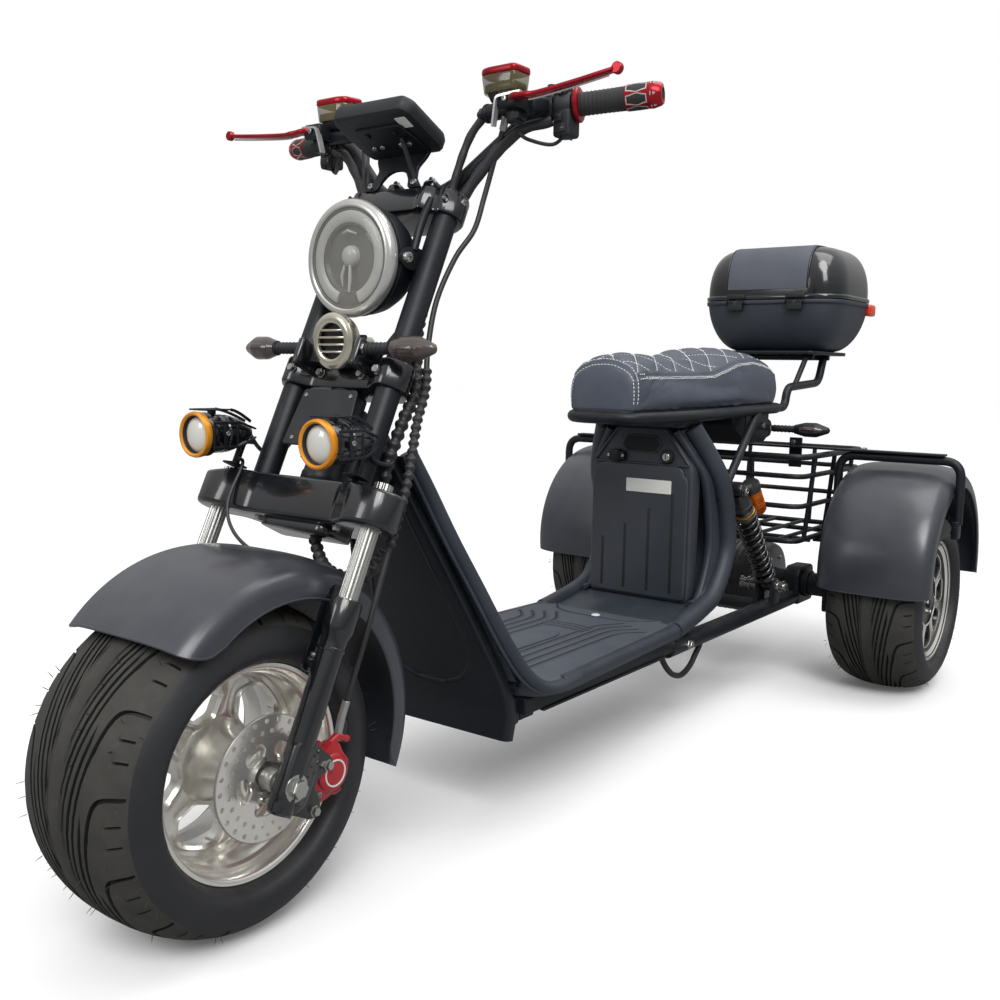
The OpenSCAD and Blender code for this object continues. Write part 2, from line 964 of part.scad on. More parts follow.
// Point on the straight end of the bar at a distance from the middle plane
function on_bar(y) = bar_points[4] +
    (bar_points[5] - bar_points[4]) * ((y - bar_points[4][1]) / (bar_points[5][1] - bar_points[4][1]));

module handlebar() {
    color("#1a1b1d")
        swept_tube(bar_points, bar_r, bar_bend, [1, 0, 0], false);
}

// Both sides of something drawn on the left
module both_sides() {
    for (s = [-1, 1])
        mirror([0, s < 0 ? 1 : 0, 0])
            children();
}

module grips() {
    color("#202123")
        both_sides()
            difference() {
                union() {
                    rod(on_bar(grip_inner), on_bar(grip_reach), grip_r);
                    rod(on_bar(grip_inner), on_bar(grip_inner + grip_flange_t), grip_flange_r);
                    rod(on_bar(grip_reach - bar_short), on_bar(grip_reach), grip_end_r);
                }
                rod(on_bar(grip_inner - eps_cut), on_bar(grip_reach - bar_short + fit), bar_r + fit);
            }
}

module lever_brackets() {
    color("#b4b6ba")
        both_sides()
            difference() {
                union() {
                    rod(on_bar(bracket_from), on_bar(bracket_to), bracket_r);
                    box([on_bar(bracket_to)[0], bracket_in, bracket_low], [behind(cup_at[0]),
                        bracket_out, bracket_high]);
                    box([behind(cup_at[0] + cup_r * half_share), cup_at[1], bracket_low],
                        [behind(bracket_tip), pocket_out, bracket_high]);
                    translate([behind(cup_at[0]), cup_at[1], cup_low])
                        cylinder(r = cup_r, h = cup_top - cup_low);
                    translate(on_bar((bracket_from + bracket_to) * half_share))
                        cylinder(r = mirror_r, h = mirror_top - on_bar(bracket_from)[2]);
                }
                rod(on_bar(bracket_from - bar_bend), on_bar(bracket_to + bracket_r), bar_r + fit);
                translate([on_bar((bracket_from + bracket_to) * half_share)[0],
                    on_bar((bracket_from + bracket_to) * half_share)[1], mirror_top - mirror_depth])
                    cylinder(r = mirror_hole_r, h = mirror_depth + mirror_depth);
                translate(place(lever_at))
                    cylinder(r = lever_pin_r + fit, h = lever_eye_h + fit + fit, center = true);
            }
}

module brake_levers() {
    color("#b3262a")
        both_sides() {
            translate(place(lever_at))
                cylinder(r = lever_pin_r, h = lever_eye_h, center = true);
            rod(place(lever_at), place(lever_tip), lever_r * half_share + fit);
            rod(place(lever_at) + (place(lever_tip) - place(lever_at)) * window_share * half_share,
                place(lever_tip), lever_r);
            translate(place(lever_tip))
                sphere(r = lever_ball_r);
        }
}

module switch_boxes() {
    color("#18191b")
        both_sides()
            difference() {
                box([on_bar(switch_from)[0] - switch_x * half_share, switch_from,
                    on_bar(switch_from)[2] - switch_down],
                    [on_bar(switch_from)[0] + switch_x * half_share, switch_to,
                        on_bar(switch_from)[2] + switch_up]);
                rod(on_bar(switch_from - bar_bend * half_share), on_bar(switch_to + bar_bend),
                    bar_r + fit);
            }
}

module display() {
    color("#141517")
        on_fork()
            translate([(display_front + display_rear) * half_share, 0, display_s])
                linear_extrude(height = display_t)
                    round_rect(display_front - display_rear, display_w, display_corner);
}

module display_stay() {
    color("#1a1b1d")
        on_fork()
            difference() {
                box([stay_front - stay_t, -stay_half, clamp_low + clamp_h], [stay_front, stay_half,
                    display_s]);
                translate([stay_front, 0, (clamp_low + clamp_h + display_s) * half_share])
                    rotate([0, 90, 0])
                        cylinder(r = stay_hole_r, h = stay_t + stay_t + stay_t, center = true);
            }
}

module headlight_bucket() {
    color("#16171a")
        translate([behind(lamp_x + lamp_rim_t), 0, lamp_z])
            rotate([0, -90, 0]) {
                cylinder(r = bucket_r, h = bucket_l);
                translate([0, 0, bucket_l])
                    cylinder(r1 = bucket_r, r2 = bucket_back_r, h = bucket_cone);
            }
}

module headlight_rim() {
    color("#c9ccd0")
        translate([behind(lamp_x + lamp_rim_t), 0, lamp_z])
            rotate([0, 90, 0])
                difference() {
                    cylinder(r = lamp_r, h = lamp_rim_t);
                    translate([0, 0, -eps_cut])
                        cylinder(r = lamp_rim_in, h = lamp_rim_t + eps_cut + eps_cut);
                }
}

module headlight_lens() {
    color("#dfe6ea")
        translate([behind(lamp_x + lamp_rim_t), 0, lamp_z])
            rotate([0, 90, 0])
                cylinder(r = lamp_rim_in - fit, h = lens_t);
}

module headlight_arms() {
    color("#1a1b1d")
        both_sides()
            difference() {
                union() {
                    box([behind(arm_back), arm_in, lamp_z - arm_h * half_share],
                        [behind(arm_front + lamp_rim_t), arm_out, lamp_z + arm_h * half_share]);
                }
                upper_tubes_at(tube_r + fit);
            }
}

// Upper tube on the left with another radius
module upper_tubes_at(r) {
    on_fork()
        translate([-tube_back, tube_half, bridge_top])
            cylinder(r = r, h = clamp_low - bridge_top);
}

module horn() {
    color("#c4c7cb")
        difference() {
            union() {
                translate([behind(horn_x + horn_t), 0, horn_z])
                    rotate([0, 90, 0])
                        cylinder(r = horn_r, h = horn_t);
                rod([behind(horn_x + horn_t + horn_pin_l), 0, horn_z], [behind(horn_x + horn_t), 0,
                    horn_z], horn_pin_r);
                on_fork()
                    horn_post(0);
            }
            on_fork()
                translate([-bridge_back - post_front - post_t, -horn_r, yoke_low])
                    cube([bridge_back, horn_r + horn_r, post_h + bridge_back + bridge_back]);
        }
}

// Post of the horn on the yoke
module horn_post(grow) {
    box([-post_front - post_t - grow, -post_half, yoke_low + yoke_h], [-post_front, post_half,
        yoke_low + yoke_h + post_h]);
}

module front_signals() {
    color("#d98a1e")
        both_sides() {
            rod([behind(signal_back), stalk_in, signal_z], [behind(signal_back), stalk_out, signal_z],
                stalk_r);
            rod([behind(signal_back), stalk_out, signal_z], [behind(signal_back), signal_out,
                signal_z], signal_r);
        }
}

module spotlights() {
    color("#202124")
        both_sides() {
            rod([behind(spot_back + spot_ring_t), spot_half, spot_z], [behind(spot_back), spot_half,
                spot_z], spot_ring_r);
            rod([behind(spot_back + spot_l), spot_half, spot_z], [behind(spot_back + spot_ring_t),
                spot_half, spot_z], spot_r);
            difference() {
                on_fork()
                    box([spot_post_back, spot_post_in, bridge_top], [spot_post_front, spot_post_out,
                        spot_post_top]);
                rod([behind(spot_back + spot_l + spot_l), spot_half, spot_z + spot_r],
                    [behind(spot_back), spot_half, spot_z + spot_r], spot_r);
            }
        }
}

module brake_hose() {
    color("#1a1a1a")
        on_fork()
            cable(hose_route, hose_r, hose_sides);
}

module motor_lead() {
    color("#1a1a1a")
        cable([for (q = lead_route) place(q)], lead_r, hose_sides);
}

module neck() {
    color("#1c1d1f")
        difference() {
            union() {
                on_fork()
                    translate([-stem_back, 0, bridge_top + head_gap])
                        cylinder(r = head_r, h = yoke_low - bridge_top - head_gap - head_gap);
                loft([for (q = neck_rings) [[behind(q[0]), -q[1], q[2]], [behind(q[0]), q[1], q[2]],
                    [behind(q[0] + neck_depth), q[1], q[2]], [behind(q[0] + neck_depth), -q[1], q[2]]]]);
                on_fork()
                    translate([0, gusset_half, 0])
                        rotate([90, 0, 0])
                            linear_extrude(height = gusset_half + gusset_half)
                                polygon(gusset);
            }
            on_fork()
                translate([-stem_back, 0, bridge_top])
                    cylinder(r = stem_r + stem_gap, h = yoke_low - bridge_top);
        }
}

module deck_frame() {
    color("#191a1c")
        for (s = [-1, 1])
            box([behind(rail_rear), s * rail_half - rail_w * half_share, rail_low],
                [behind(neck_rings[3][0] + neck_depth + fit), s * rail_half + rail_w * half_share,
                    deck_z - deck_t - fit]);
    color("#191a1c")
        for (d = rail_cross)
            box([behind(d + rail_cross_w * half_share), -rail_half, rail_cross_low],
                [behind(d - rail_cross_w * half_share), rail_half, deck_z - deck_t - fit]);
}

module footboard() {
    color("#242527")
        translate([0, 0, deck_z - deck_t])
            linear_extrude(height = deck_t)
                polygon([[behind(deck_front + deck_corner), -deck_front_half], [behind(deck_front),
                    -deck_front_half + deck_corner],
                    [behind(deck_front), deck_front_half - deck_corner],
                        [behind(deck_front + deck_corner), deck_front_half],
                    [behind(deck_rear), deck_rear_half], [behind(deck_rear), -deck_rear_half]]);
}

roll_points = [for (q = roll_line) [behind(q[0]), roll_y + q[1], q[2]]];

module side_rolls() {
    color("#1f2022")
        both_sides()
            swept_tube(roll_points, roll_r, roll_bend, [0, 1, 0], false);
}

// Inner and outer lines of the tub wall, a half wall to each side of its middle line
function tub_side(i) = let (a = tub_line[max(i - 1, 0)], b = tub_line[min(i + 1, len(tub_line) - 1)],
    d = unit(b - a))
    [-d[1], d[0]];

module battery_tub() {
    color("#1f2022") {
        intersection() {
            side_plate(concat([for (i = [0 :
                len(tub_line) - 1]) tub_line[i] + tub_side(i) * tub_t * half_share],
                [for (i = [len(tub_line) - 1 : -1 : 0]) tub_line[i] - tub_side(i) * tub_t * half_share]),
                -tub_half, tub_half);
            translate([behind(tub_line[3][0] + tub_t + tub_t), 0, 0])
                rotate([90, 0, 90])
                    linear_extrude(height = tub_line[3][0])
                        polygon([[-tub_half, 0], [tub_half, 0], [tub_half, tub_shoulder],
                            [tub_top_half, tub_top],
                            [-tub_top_half, tub_top], [-tub_half, tub_shoulder]]);
        }
        box([behind(tub_plate_to), -loop_half, tub_top - tub_t], [behind(tub_plate_from), loop_half,
            loop_z - loop_r - fit]);
    }
}

module battery() {
    color("#26282b")
        difference() {
            intersection() {
                side_plate(concat(battery_line, [[battery_front, battery_top]]), -battery_half,
                    battery_half);
                translate([behind(battery_line[2][0] + tub_t), 0, 0])
                    rotate([90, 0, 90])
                        linear_extrude(height = battery_line[2][0])
                            polygon([[-battery_half, 0], [battery_half, 0], [battery_half,
                                battery_shoulder],
                                [battery_top_half, battery_top], [-battery_top_half, battery_top],
                                [-battery_half, battery_shoulder]]);
            }
            box([behind(battery_front + slot_deep), -slot_half, slot_z],
                [behind(battery_front - eps_cut), slot_half, slot_z + slot_h]);
            for (i = [0 : len(groove_xs) - 1])
                box([behind(battery_front + groove_deep), groove_xs[i] - groove_w * half_share,
                    groove_low],
                    [behind(battery_front - eps_cut), groove_xs[i] + groove_w * half_share,
                        groove_tops[i]]);
        }
}

loop_points = [[behind(loop_rear), 0, loop_z], [behind(loop_rear), loop_half, loop_z],
    [behind(loop_wide), loop_half, loop_z],
    [behind(loop_front), loop_nose_half, loop_z], [behind(loop_front), -loop_nose_half, loop_z],
    [behind(loop_wide), -loop_half, loop_z], [behind(loop_rear), -loop_half, loop_z],
        [behind(loop_rear), 0, loop_z]];

module seat_frame() {
    color("#1c1d1f") {
        swept_tube(loop_points, loop_r, loop_bend, [0, 0, 1], true);
        both_sides()
            difference() {
                rod(place([strut_back, loop_half, loop_z]), place(strut_foot), strut_r);
                rod(roll_points[4], roll_points[5], roll_r + fit);
            }
    }
}

module seat() {
    color("#2b2c2e")
        loft([for (i = [0 : len(seat_fronts) - 1])
            let (x = behind(seat_fronts[i]), w = seat_half * seat_half_shares[i],
                h = seat_h * seat_h_shares[i],
                z = loop_z + loop_r + seat_gap, e = seat_edge_share)
            [[x, -w, z], [x, -w, z + h * e], [x, -w * e, z + h], [x, 0, z + h + fit], [x, w * e,
                z + h], [x, w, z + h * e],
                [x, w, z]]]);
}

module tail_box() {
    color("#1b1c1e")
        box([behind(tail_box_rear), -tail_box_half, tail_box_low], [behind(tail_box_front),
            tail_box_half, loop_z + loop_r]);
}

module tail_lamp() {
    color("#8e1b1d")
        box([behind(tail_lamp_rear), -tail_lamp_half, rear_stalk_z - tail_lamp_h * half_share],
            [behind(tail_box_rear + fit), tail_lamp_half, rear_stalk_z + tail_lamp_h * half_share]);
}

module rear_signals() {
    color("#d98a1e")
        both_sides() {
            rod([behind(rear_stalk_back), tail_lamp_half + fit, rear_stalk_z],
                [behind(rear_stalk_back), rear_stalk_mid, rear_stalk_z],
                stalk_r);
            rod([behind(rear_stalk_back), rear_stalk_mid, rear_stalk_z], [behind(rear_stalk_back),
                rear_signal_out, rear_stalk_z],
                signal_r);
        }
}

module rear_frame() {
    color("#1b1c1e")
        difference() {
            union() {
                both_sides() {
                    rod([behind(rail_rear + fit), rail_half, tail_rail_z], [behind(tail_rail_end),
                        rail_half, tail_rail_z], tail_rail_r);
                    side_plate(shock_lug, shock_y - shock_eye_half - fit - rail_plate_t * half_share,
                        shock_y - shock_eye_half - fit);
                    side_plate(shock_lug, shock_y + shock_eye_half + fit,
                        shock_y + shock_eye_half + fit + rail_plate_t * half_share);
                    box([behind(plate_rear), rail_plate_in, plate_low], [behind(tail_rail_end),
                        rail_plate_out, rear_tyre_r + beam_r + rail_plate_t]);
                }
                for (d = tail_cross)
                    rod([behind(d), -rail_half, tail_rail_z], [behind(d), rail_half, tail_rail_z],
                        tail_cross_r);
            }
            translate([rear_axle_x, 0, rear_tyre_r])
                rotate([90, 0, 0])
                    cylinder(r = beam_r + fit, h = beam_half + beam_half, center = true);
            rod([behind(shock_low[0]), -beam_half, shock_low[1]], [behind(shock_low[0]), beam_half,
                shock_low[1]], shock_pin_r + fit);
        }
}

module axle_beam() {
    color("#232427")
        translate([rear_axle_x, 0, rear_tyre_r])
            rotate([90, 0, 0]) {
                cylinder(r = beam_r, h = beam_half + beam_half, center = true);
                cylinder(r = spindle_r, h = spindle_half + spindle_half, center = true);
            }
}

module drive_motor() {
    color("#3a3c40")
        translate([rear_axle_x, 0, rear_tyre_r])
            rotate([90, 0, 0])
                difference() {
                    cylinder(r = motor_r, h = motor_half + motor_half, center = true);
                    cylinder(r = beam_r + fit, h = motor_half + motor_half + eps_cut, center = true);
                }
}

module axle_plates() {
    color("#6f7276")
        both_sides()
            difference() {
                union() {
                    box([behind(plate_rear), plate_in, plate_low], [behind(plate_front - hoop_r),
                        plate_in + plate_t, basket_z - basket_lift]);
                    box([behind(plate_rear), plate_flange_in, basket_z - plate_flange_t],
                        [behind(plate_front - hoop_r), plate_in + fit, basket_z - basket_lift]);
                }
                translate([rear_axle_x, plate_in, rear_tyre_r])
                    rotate([90, 0, 0])
                        cylinder(r = beam_r + fit, h = beam_half, center = true);
            }
}

module shock_mount() {
    color("#1b1c1e")
        both_sides() {
            difference() {
                side_plate(shock_plate, shock_plate_in, shock_plate_in + shock_plate_t);
                rod([behind(shock_top[0]), 0, shock_top[1]], [behind(shock_top[0]), loop_half,
                    shock_top[1]], shock_pin_r + fit);
            }
            rod([behind(shock_cross[0]), shock_plate_in + fit, shock_cross[1]],
                [behind(shock_cross[0]), -fit, shock_cross[1]], strut_r);
        }
}

module shocks() {
    a = [behind(shock_low[0]), shock_y, shock_low[1]];
    b = [behind(shock_top[0]), shock_y, shock_top[1]];
    d = b - a;
    color("#2a2b2d")
        both_sides() {
            for (p = [a, b])
                rod(p - [0, shock_eye_half, 0], p + [0, shock_eye_half, 0], shock_eye_r);
            rod(a - [0, shock_eye_half + rail_plate_t, 0], a + [0, shock_eye_half + rail_plate_t, 0],
                shock_pin_r);
            rod(b - [0, shock_eye_half + rail_plate_t + shock_plate_t, 0], b, shock_pin_r);
            rod(a, b, shock_rod_r);
            rod(a + d * spring_low_share, a + d * (spring_low_share + spring_share), spring_r);
            rod(b - d * spring_low_share, b - d * (1 - spring_low_share - spring_share +
                spring_low_share), spring_r - shock_rod_r);
        }
}

module rear_mudguards() {
    color("#303133")
        both_sides()
            translate([rear_axle_x - guard_back, guard_y, rear_tyre_r + guard_up])
                guard_shell(guard_r, guard_half, guard_t, guard_corner, guard_skirt, guard_from,
                    guard_to);
}

// Hoops over the mudguards, each with its foot on the outer side
module mudguard_hoops() {
    color("#18191b")
        both_sides() {
            bent_tube([[behind(hoop_back), hoop_in, hoop_low], [behind(hoop_back), hoop_in, hoop_z],
                [behind(hoop_back), hoop_out, hoop_z], [behind(hoop_back), hoop_out, hoop_end]],
                    hoop_r, hoop_bend);
            box([behind(hoop_back + hoop_foot), guard_y + guard_half + fit, hoop_end - hoop_foot_h],
                [behind(hoop_back - hoop_foot), hoop_out + hoop_r * half_share,
                    hoop_end + hoop_r * half_share]);
        }
}

module cross_strap() {
    color("#18191b")
        box([behind(hoop_back + strap_w * half_share), -strap_half, hoop_z + hoop_r + fit * half_share],
            [behind(hoop_back - strap_w * half_share), strap_half, hoop_z + hoop_r + strap_t]);
}

// Flat wire panel in its own plane: a frame of bars with wires between, lying along X and Y
module wire_panel(l, w, wires) {
    for (s = [-1, 1]) {
        rod([-l * half_share + basket_bar_r, s * (w * half_share - basket_bar_r), 0],
            [l * half_share - basket_bar_r, s * (w * half_share - basket_bar_r), 0], basket_bar_r);
        rod([s * (l * half_share - basket_bar_r), -w * half_share, 0],
            [s * (l * half_share - basket_bar_r), w * half_share, 0],
            basket_bar_r);
    }
    for (i = [1 : wires])
        rod([-l * half_share + l * i / (wires + 1), -w * half_share + basket_bar_r, 0],
            [-l * half_share + l * i / (wires + 1), w * half_share - basket_bar_r, 0], basket_wire_r);
}

basket_x = behind(basket_front + basket_l * half_share);

module basket_floor() {
    color("#17181a")
        translate([basket_x, 0, basket_z + basket_bar_r])
            wire_panel(basket_l, basket_half + basket_half, basket_wires + basket_wires);
}

module basket_walls() {
    up = basket_z + basket_bar_r + basket_bar_r + basket_gap * half_share;
    color("#17181a") {
        for (s = [-1, 1])
            translate([basket_x, s * (basket_half - basket_bar_r),
                up + (basket_h - basket_bar_r - basket_bar_r) * half_share])
                rotate([90, 0, 0])
                    wire_panel(basket_l, basket_h - basket_bar_r - basket_bar_r, basket_wires);
        for (s = [-1, 1])
            translate([basket_x + s * (basket_l * half_share - basket_bar_r), 0,
                up + (basket_h - basket_bar_r - basket_bar_r) * half_share])
                rotate([90, 0, 90])
                    wire_panel(basket_half + basket_half - wall_clear,
                        basket_h - basket_bar_r - basket_bar_r,
                        basket_wires);
    }
}

module case_rack() {
    color("#1a1b1d") {
        box([behind(rack_rear), -rack_half, case_z - rack_t - fit], [behind(rack_front), rack_half,
            case_z - fit]);
        both_sides() {
            swept_tube([for (q = rack_line) [behind(q[0]), rack_y, q[1]]], rack_tube_r, rack_bend, [0,
                1, 0], false);
            rod([behind(rack_brace[0][0]), rack_y, rack_brace[0][1]], [behind(rack_brace[1][0]),
                rack_y, rack_brace[1][1]],
                rack_tube_r * spring_share);
        }
    }
}

// Half of the top case: a hollow tray with round corners, its floor down
module case_tray(h) {
    translate([case_x + case_l * half_share, 0, 0])
        difference() {
            linear_extrude(height = h)
                round_rect(case_l, case_half + case_half, case_corner);
            translate([0, 0, case_floor])
                linear_extrude(height = h)
                    round_rect(case_l - case_wall - case_wall,
                        case_half + case_half - case_wall - case_wall, case_corner - case_wall);
        }
}

hinge_x = case_x + case_l + hinge_x_off;
hinge_z = case_z + case_base_h + case_split * half_share;

module case_base() {
    color("#2c2e31") {
        translate([0, 0, case_z])
            case_tray(case_base_h);
        for (s = [-1, 1])
            translate([0, s * hinge_y, 0]) {
                box([case_x + case_l - fit, -hinge_half, hinge_block_low], [hinge_x + hinge_step,
                    hinge_half, hinge_z - hinge_drop]);
                box([hinge_x - hinge_ring_r, -hinge_mid * half_share, hinge_z - hinge_drop],
                    [hinge_x + hinge_step, hinge_mid * half_share, hinge_z]);
                rod([hinge_x, -hinge_half, hinge_z], [hinge_x, hinge_half, hinge_z], hinge_pin_r);
            }
    }
}

module case_lid() {
    color("#1a1b1d")
        difference() {
            union() {
                translate([0, 0, case_z + case_base_h + case_split + case_lid_h])
                    mirror([0, 0, 1])
                        case_tray(case_lid_h);
                for (s = [-1, 1], t = [-1, 1])
                    translate([0, s * hinge_y + t * ((hinge_mid + hinge_side) * half_share +
                        hinge_gap), 0]) {
                        rod([hinge_x, -hinge_side * half_share, hinge_z], [hinge_x,
                            hinge_side * half_share, hinge_z], hinge_ring_r);
                        box([case_x + case_l - fit, -hinge_side * half_share,
                            hinge_z + case_split * half_share],
                            [hinge_x, hinge_side * half_share, hinge_z + hinge_ring_r]);
                    }
            }
            for (s = [-1, 1])
                translate([0, s * hinge_y, 0])
                    rod([hinge_x, -hinge_half - eps_cut, hinge_z], [hinge_x, hinge_half + eps_cut,
                        hinge_z], hinge_pin_r + hinge_gap);
        }
}

module case_reflectors() {
    color("#c2401c")
        for (s = [-1, 1])
            translate([case_x + case_corner, s * (case_half - case_corner),
                case_z + case_base_h - reflector_h - case_split])
                rotate([0, 0, 180 - s * reflector_y])
                    difference() {
                        box([0, -reflector_half, 0], [case_corner + reflector_t, reflector_half,
                            reflector_h]);
                        translate([0, 0, -eps_cut])
                            cylinder(r = case_corner + fit, h = reflector_h + eps_cut + eps_cut);
                    }
}

neck();
deck_frame();
footboard();
side_rolls();
battery_tub();
battery();
seat_frame();
seat();
tail_box();
tail_lamp();
rear_signals();
rear_frame();
axle_beam();
drive_motor();
axle_plates();
shock_mount();
shocks();
rear_mudguards();
mudguard_hoops();
cross_strap();
basket_floor();
basket_walls();
case_rack();
case_base();
case_reflectors();
motor_lead();
fork_sliders();
fork_tubes();
fork_bridge();
steering_stem();
upper_tubes();
upper_yoke();
top_clamp();
front_axle();
front_mudguard();
front_caliper();
bar_clamps();
handlebar();
grips();
lever_brackets();
brake_levers();
switch_boxes();
display();
display_stay();
headlight_bucket();
headlight_rim();
headlight_lens();
headlight_arms();
horn();
front_signals();
spotlights();
brake_hose();
front_tyre();
front_rim();
front_disc();
rear_left_tyre();
rear_left_rim();
rear_right_tyre();
rear_right_rim();
case_lid();
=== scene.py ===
import math

import bmesh
import bpy
import numpy as np
from mathutils import Matrix, Vector
from mathutils.bvhtree import BVHTree


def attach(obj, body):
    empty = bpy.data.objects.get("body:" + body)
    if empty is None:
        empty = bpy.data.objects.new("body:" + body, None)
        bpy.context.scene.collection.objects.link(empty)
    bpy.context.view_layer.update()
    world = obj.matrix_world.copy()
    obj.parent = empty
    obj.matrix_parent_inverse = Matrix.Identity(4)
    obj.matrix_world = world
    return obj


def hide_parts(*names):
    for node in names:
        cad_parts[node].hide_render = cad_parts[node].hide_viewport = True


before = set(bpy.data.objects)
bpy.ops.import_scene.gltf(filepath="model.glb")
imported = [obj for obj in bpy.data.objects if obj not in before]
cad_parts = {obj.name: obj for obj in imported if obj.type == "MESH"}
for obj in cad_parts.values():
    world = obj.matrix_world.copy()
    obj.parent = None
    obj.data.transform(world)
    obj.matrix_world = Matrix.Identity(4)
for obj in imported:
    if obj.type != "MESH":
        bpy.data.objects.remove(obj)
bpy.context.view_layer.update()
print("CAD frame loaded")

# Shapes are drawn in millimetres in the CAD frame and scaled once, in addPiece. A tyre is its radius and
# half width
frontAxle = 906.5
rearAxle = -783.5
wheelbase = frontAxle - rearAxle
rearHalfTrack = 375
frontTyre = (217, 112.5)
rearTyre = (213, 107.5)
rake = math.radians(25.5)
full = 2 * np.pi
leftAxis, rightAxis = (0, 1, 0), (0, -1, 0)
aheadX, backX, upZ = (1, 0, 0), (-1, 0, 0), (0, 0, 1)


# Point from its distance behind the front axle, side and height
def at(behind, y, z):
    return np.stack(np.broadcast_arrays(frontAxle - np.asarray(behind, float), y, z), -1)


# Point in the fork's frame: u ahead of the legs, y to the left, s along the legs up from the axle
def onFork(u, y, s):
    u, y, s = np.broadcast_arrays(np.asarray(u, float), y, s)
    x = frontAxle + u * math.cos(rake) - s * math.sin(rake)
    return np.stack([x, y, frontTyre[0] + u * math.sin(rake) + s * math.cos(rake)], -1)


# Several such points, each in brackets
def places(*points):
    return [at(*p) for p in points]


def forkPlaces(*points):
    return [onFork(*p) for p in points]


def unit(v):
    return v / np.linalg.norm(v, axis=-1, keepdims=True)


# Rises smoothly from 0 at low to 1 at high: three times the square less twice the cube
def ease(low, high, x):
    t = np.clip((np.asarray(x, float) - low) / (high - low), 0, 1)
    return t * t * (3 - 2 * t)


# Quads over a grid of points, row to row and column to column, joined round where wrapped
def grid(points, wrapRows=False, wrapCols=False):
    rows, cols = points.shape[:2]
    i = np.arange(rows if wrapRows else rows - 1)[:, None]
    j = np.arange(cols if wrapCols else cols - 1)[None]
    k, m = (i + 1) % rows, (j + 1) % cols
    quads = np.stack([i * cols + j, i * cols + m, k * cols + m, k * cols + j], -1).reshape(-1, 4)
    return points.reshape(-1, 3), quads.tolist()


# Loft: closed rings in order, each end drawn to its middle
def loft(rings):
    rings = np.asarray(rings, float)
    ends = [np.broadcast_to(r.mean(0), r.shape)[None] for r in (rings[0], rings[-1])]
    return grid(np.concatenate([ends[0], rings, ends[1]]), wrapCols=True)


def join(*shapes):
    verts, faces, base = [], [], 0
    for v, f in shapes:
        verts.append(v)
        faces += [[k + base for k in q] for q in f]
        base += len(v)
    return np.concatenate(verts), faces


def mirrored(shape):
    return shape[0] * [1, -1, 1], [q[::-1] for q in shape[1]]


def bothSides(*shapes):
    shape = join(*shapes)
    return join(shape, mirrored(shape))


# Two directions square to an axis
def across(axis):
    axis = unit(np.asarray(axis, float))
    side = np.cross(axis, [0, 0, 1] if abs(axis[2]) < 0.9 else [1, 0, 0])
    side = unit(side)
    return axis, side, np.cross(axis, side)


# Surface of revolution: each (radius, height) of the profile carried round the axis; waves adds a share of
# the radius times the cosine of so many turns
def lathe(profile, origin, axis, steps=48, waves=None):
    profile = np.asarray(profile, float)
    axis, a, b = across(axis)
    t = np.arange(steps) * full / steps
    r = profile[:, :1] * np.ones((1, steps))
    if waves:
        r = r + waves[0] * np.cos(waves[1] * t)
    ring = np.cos(t)[:, None] * a + np.sin(t)[:, None] * b
    return grid(np.asarray(origin, float) + r[..., None] * ring + profile[:, 1, None, None] * axis,
        wrapCols=True)


# Path with its corners turned into arcs: quadratic blends from a cut before to a cut after each corner
def rounded(points, radius, steps=6, closed=False):
    p = np.asarray(points, float)
    n, out = len(p), []
    for i in range(n):
        if not closed and i in (0, n - 1):
            out.append(p[i])
            continue
        before, after = p[i - 1] - p[i], p[(i + 1) % n] - p[i]
        cut = min(radius, 0.48 * np.linalg.norm(before), 0.48 * np.linalg.norm(after))
        a, b = p[i] + unit(before) * cut, p[i] + unit(after) * cut
        t = np.linspace(0, 1, steps)[:, None]
        out += list((1 - t) ** 2 * a + 2 * t * (1 - t) * p[i] + t ** 2 * b)
    return np.array(out)


# Smooth path through points: piecewise cubic with each slope half the step between neighbours
def smoothPath(points, steps=8):
    p = np.asarray(points, float)
    m = np.gradient(p, axis=0)
    t = np.linspace(0, 1, steps, endpoint=False)[:, None]
    h = [2 * t ** 3 - 3 * t ** 2 + 1, t ** 3 - 2 * t ** 2 + t, 3 * t ** 2 - 2 * t ** 3, t ** 3 - t ** 2]
    out = [h[0] * p[i] + h[1] * m[i] + h[2] * p[i + 1] + h[3] * m[i + 1] for i in range(len(p) - 1)]
    return np.concatenate(out + [p[-1:]])


# Directions along a path and two square to it, the side turned as little as can be from point to point
def pathFrames(path, closed=False, guide=None):
    if closed:
        along = unit(np.roll(path, -1, 0) - np.roll(path, 1, 0))
    else:
        along = unit(np.gradient(path, axis=0))
    if guide is not None:
        side = unit(np.cross(along, guide))
        return along, side, np.cross(along, side)
    side = np.zeros_like(path)
    side[0] = across(along[0])[1]
    for i in range(1, len(path)):
        v = side[i - 1] - along[i] * (side[i - 1] @ along[i])
        side[i] = v / np.linalg.norm(v)
    return along, side, np.cross(along, side)


# Tube: a circle carried along a path, its radius one number or one for each point, with dished ends
def tube(path, radius, sides=16, closed=False):
    path = np.asarray(path, float)
    along, side, up = pathFrames(path, closed)
    r = np.broadcast_to(np.asarray(radius, float), len(path))
    if not closed:
        path = np.concatenate([path[:1], path[:1], path, path[-1:], path[-1:]])
        side, up = (np.concatenate([v[:1], v[:1], v, v[-1:], v[-1:]]) for v in (side, up))
        r = np.concatenate([[0, r[0] * 0.86], r, [r[-1] * 0.86, 0]])
        nudge = np.zeros_like(path)
        nudge[[0, 1]] = -along[0] * r[2] * 0.12
        nudge[[-1, -2]] = along[-1] * r[-3] * 0.12
        path = path + nudge
    t = np.arange(sides) * full / sides
    ring = np.cos(t)[None, :, None] * side[:, None] + np.sin(t)[None, :, None] * up[:, None]
    return grid(path[:, None] + r[:, None, None] * ring, wrapRows=closed, wrapCols=True)


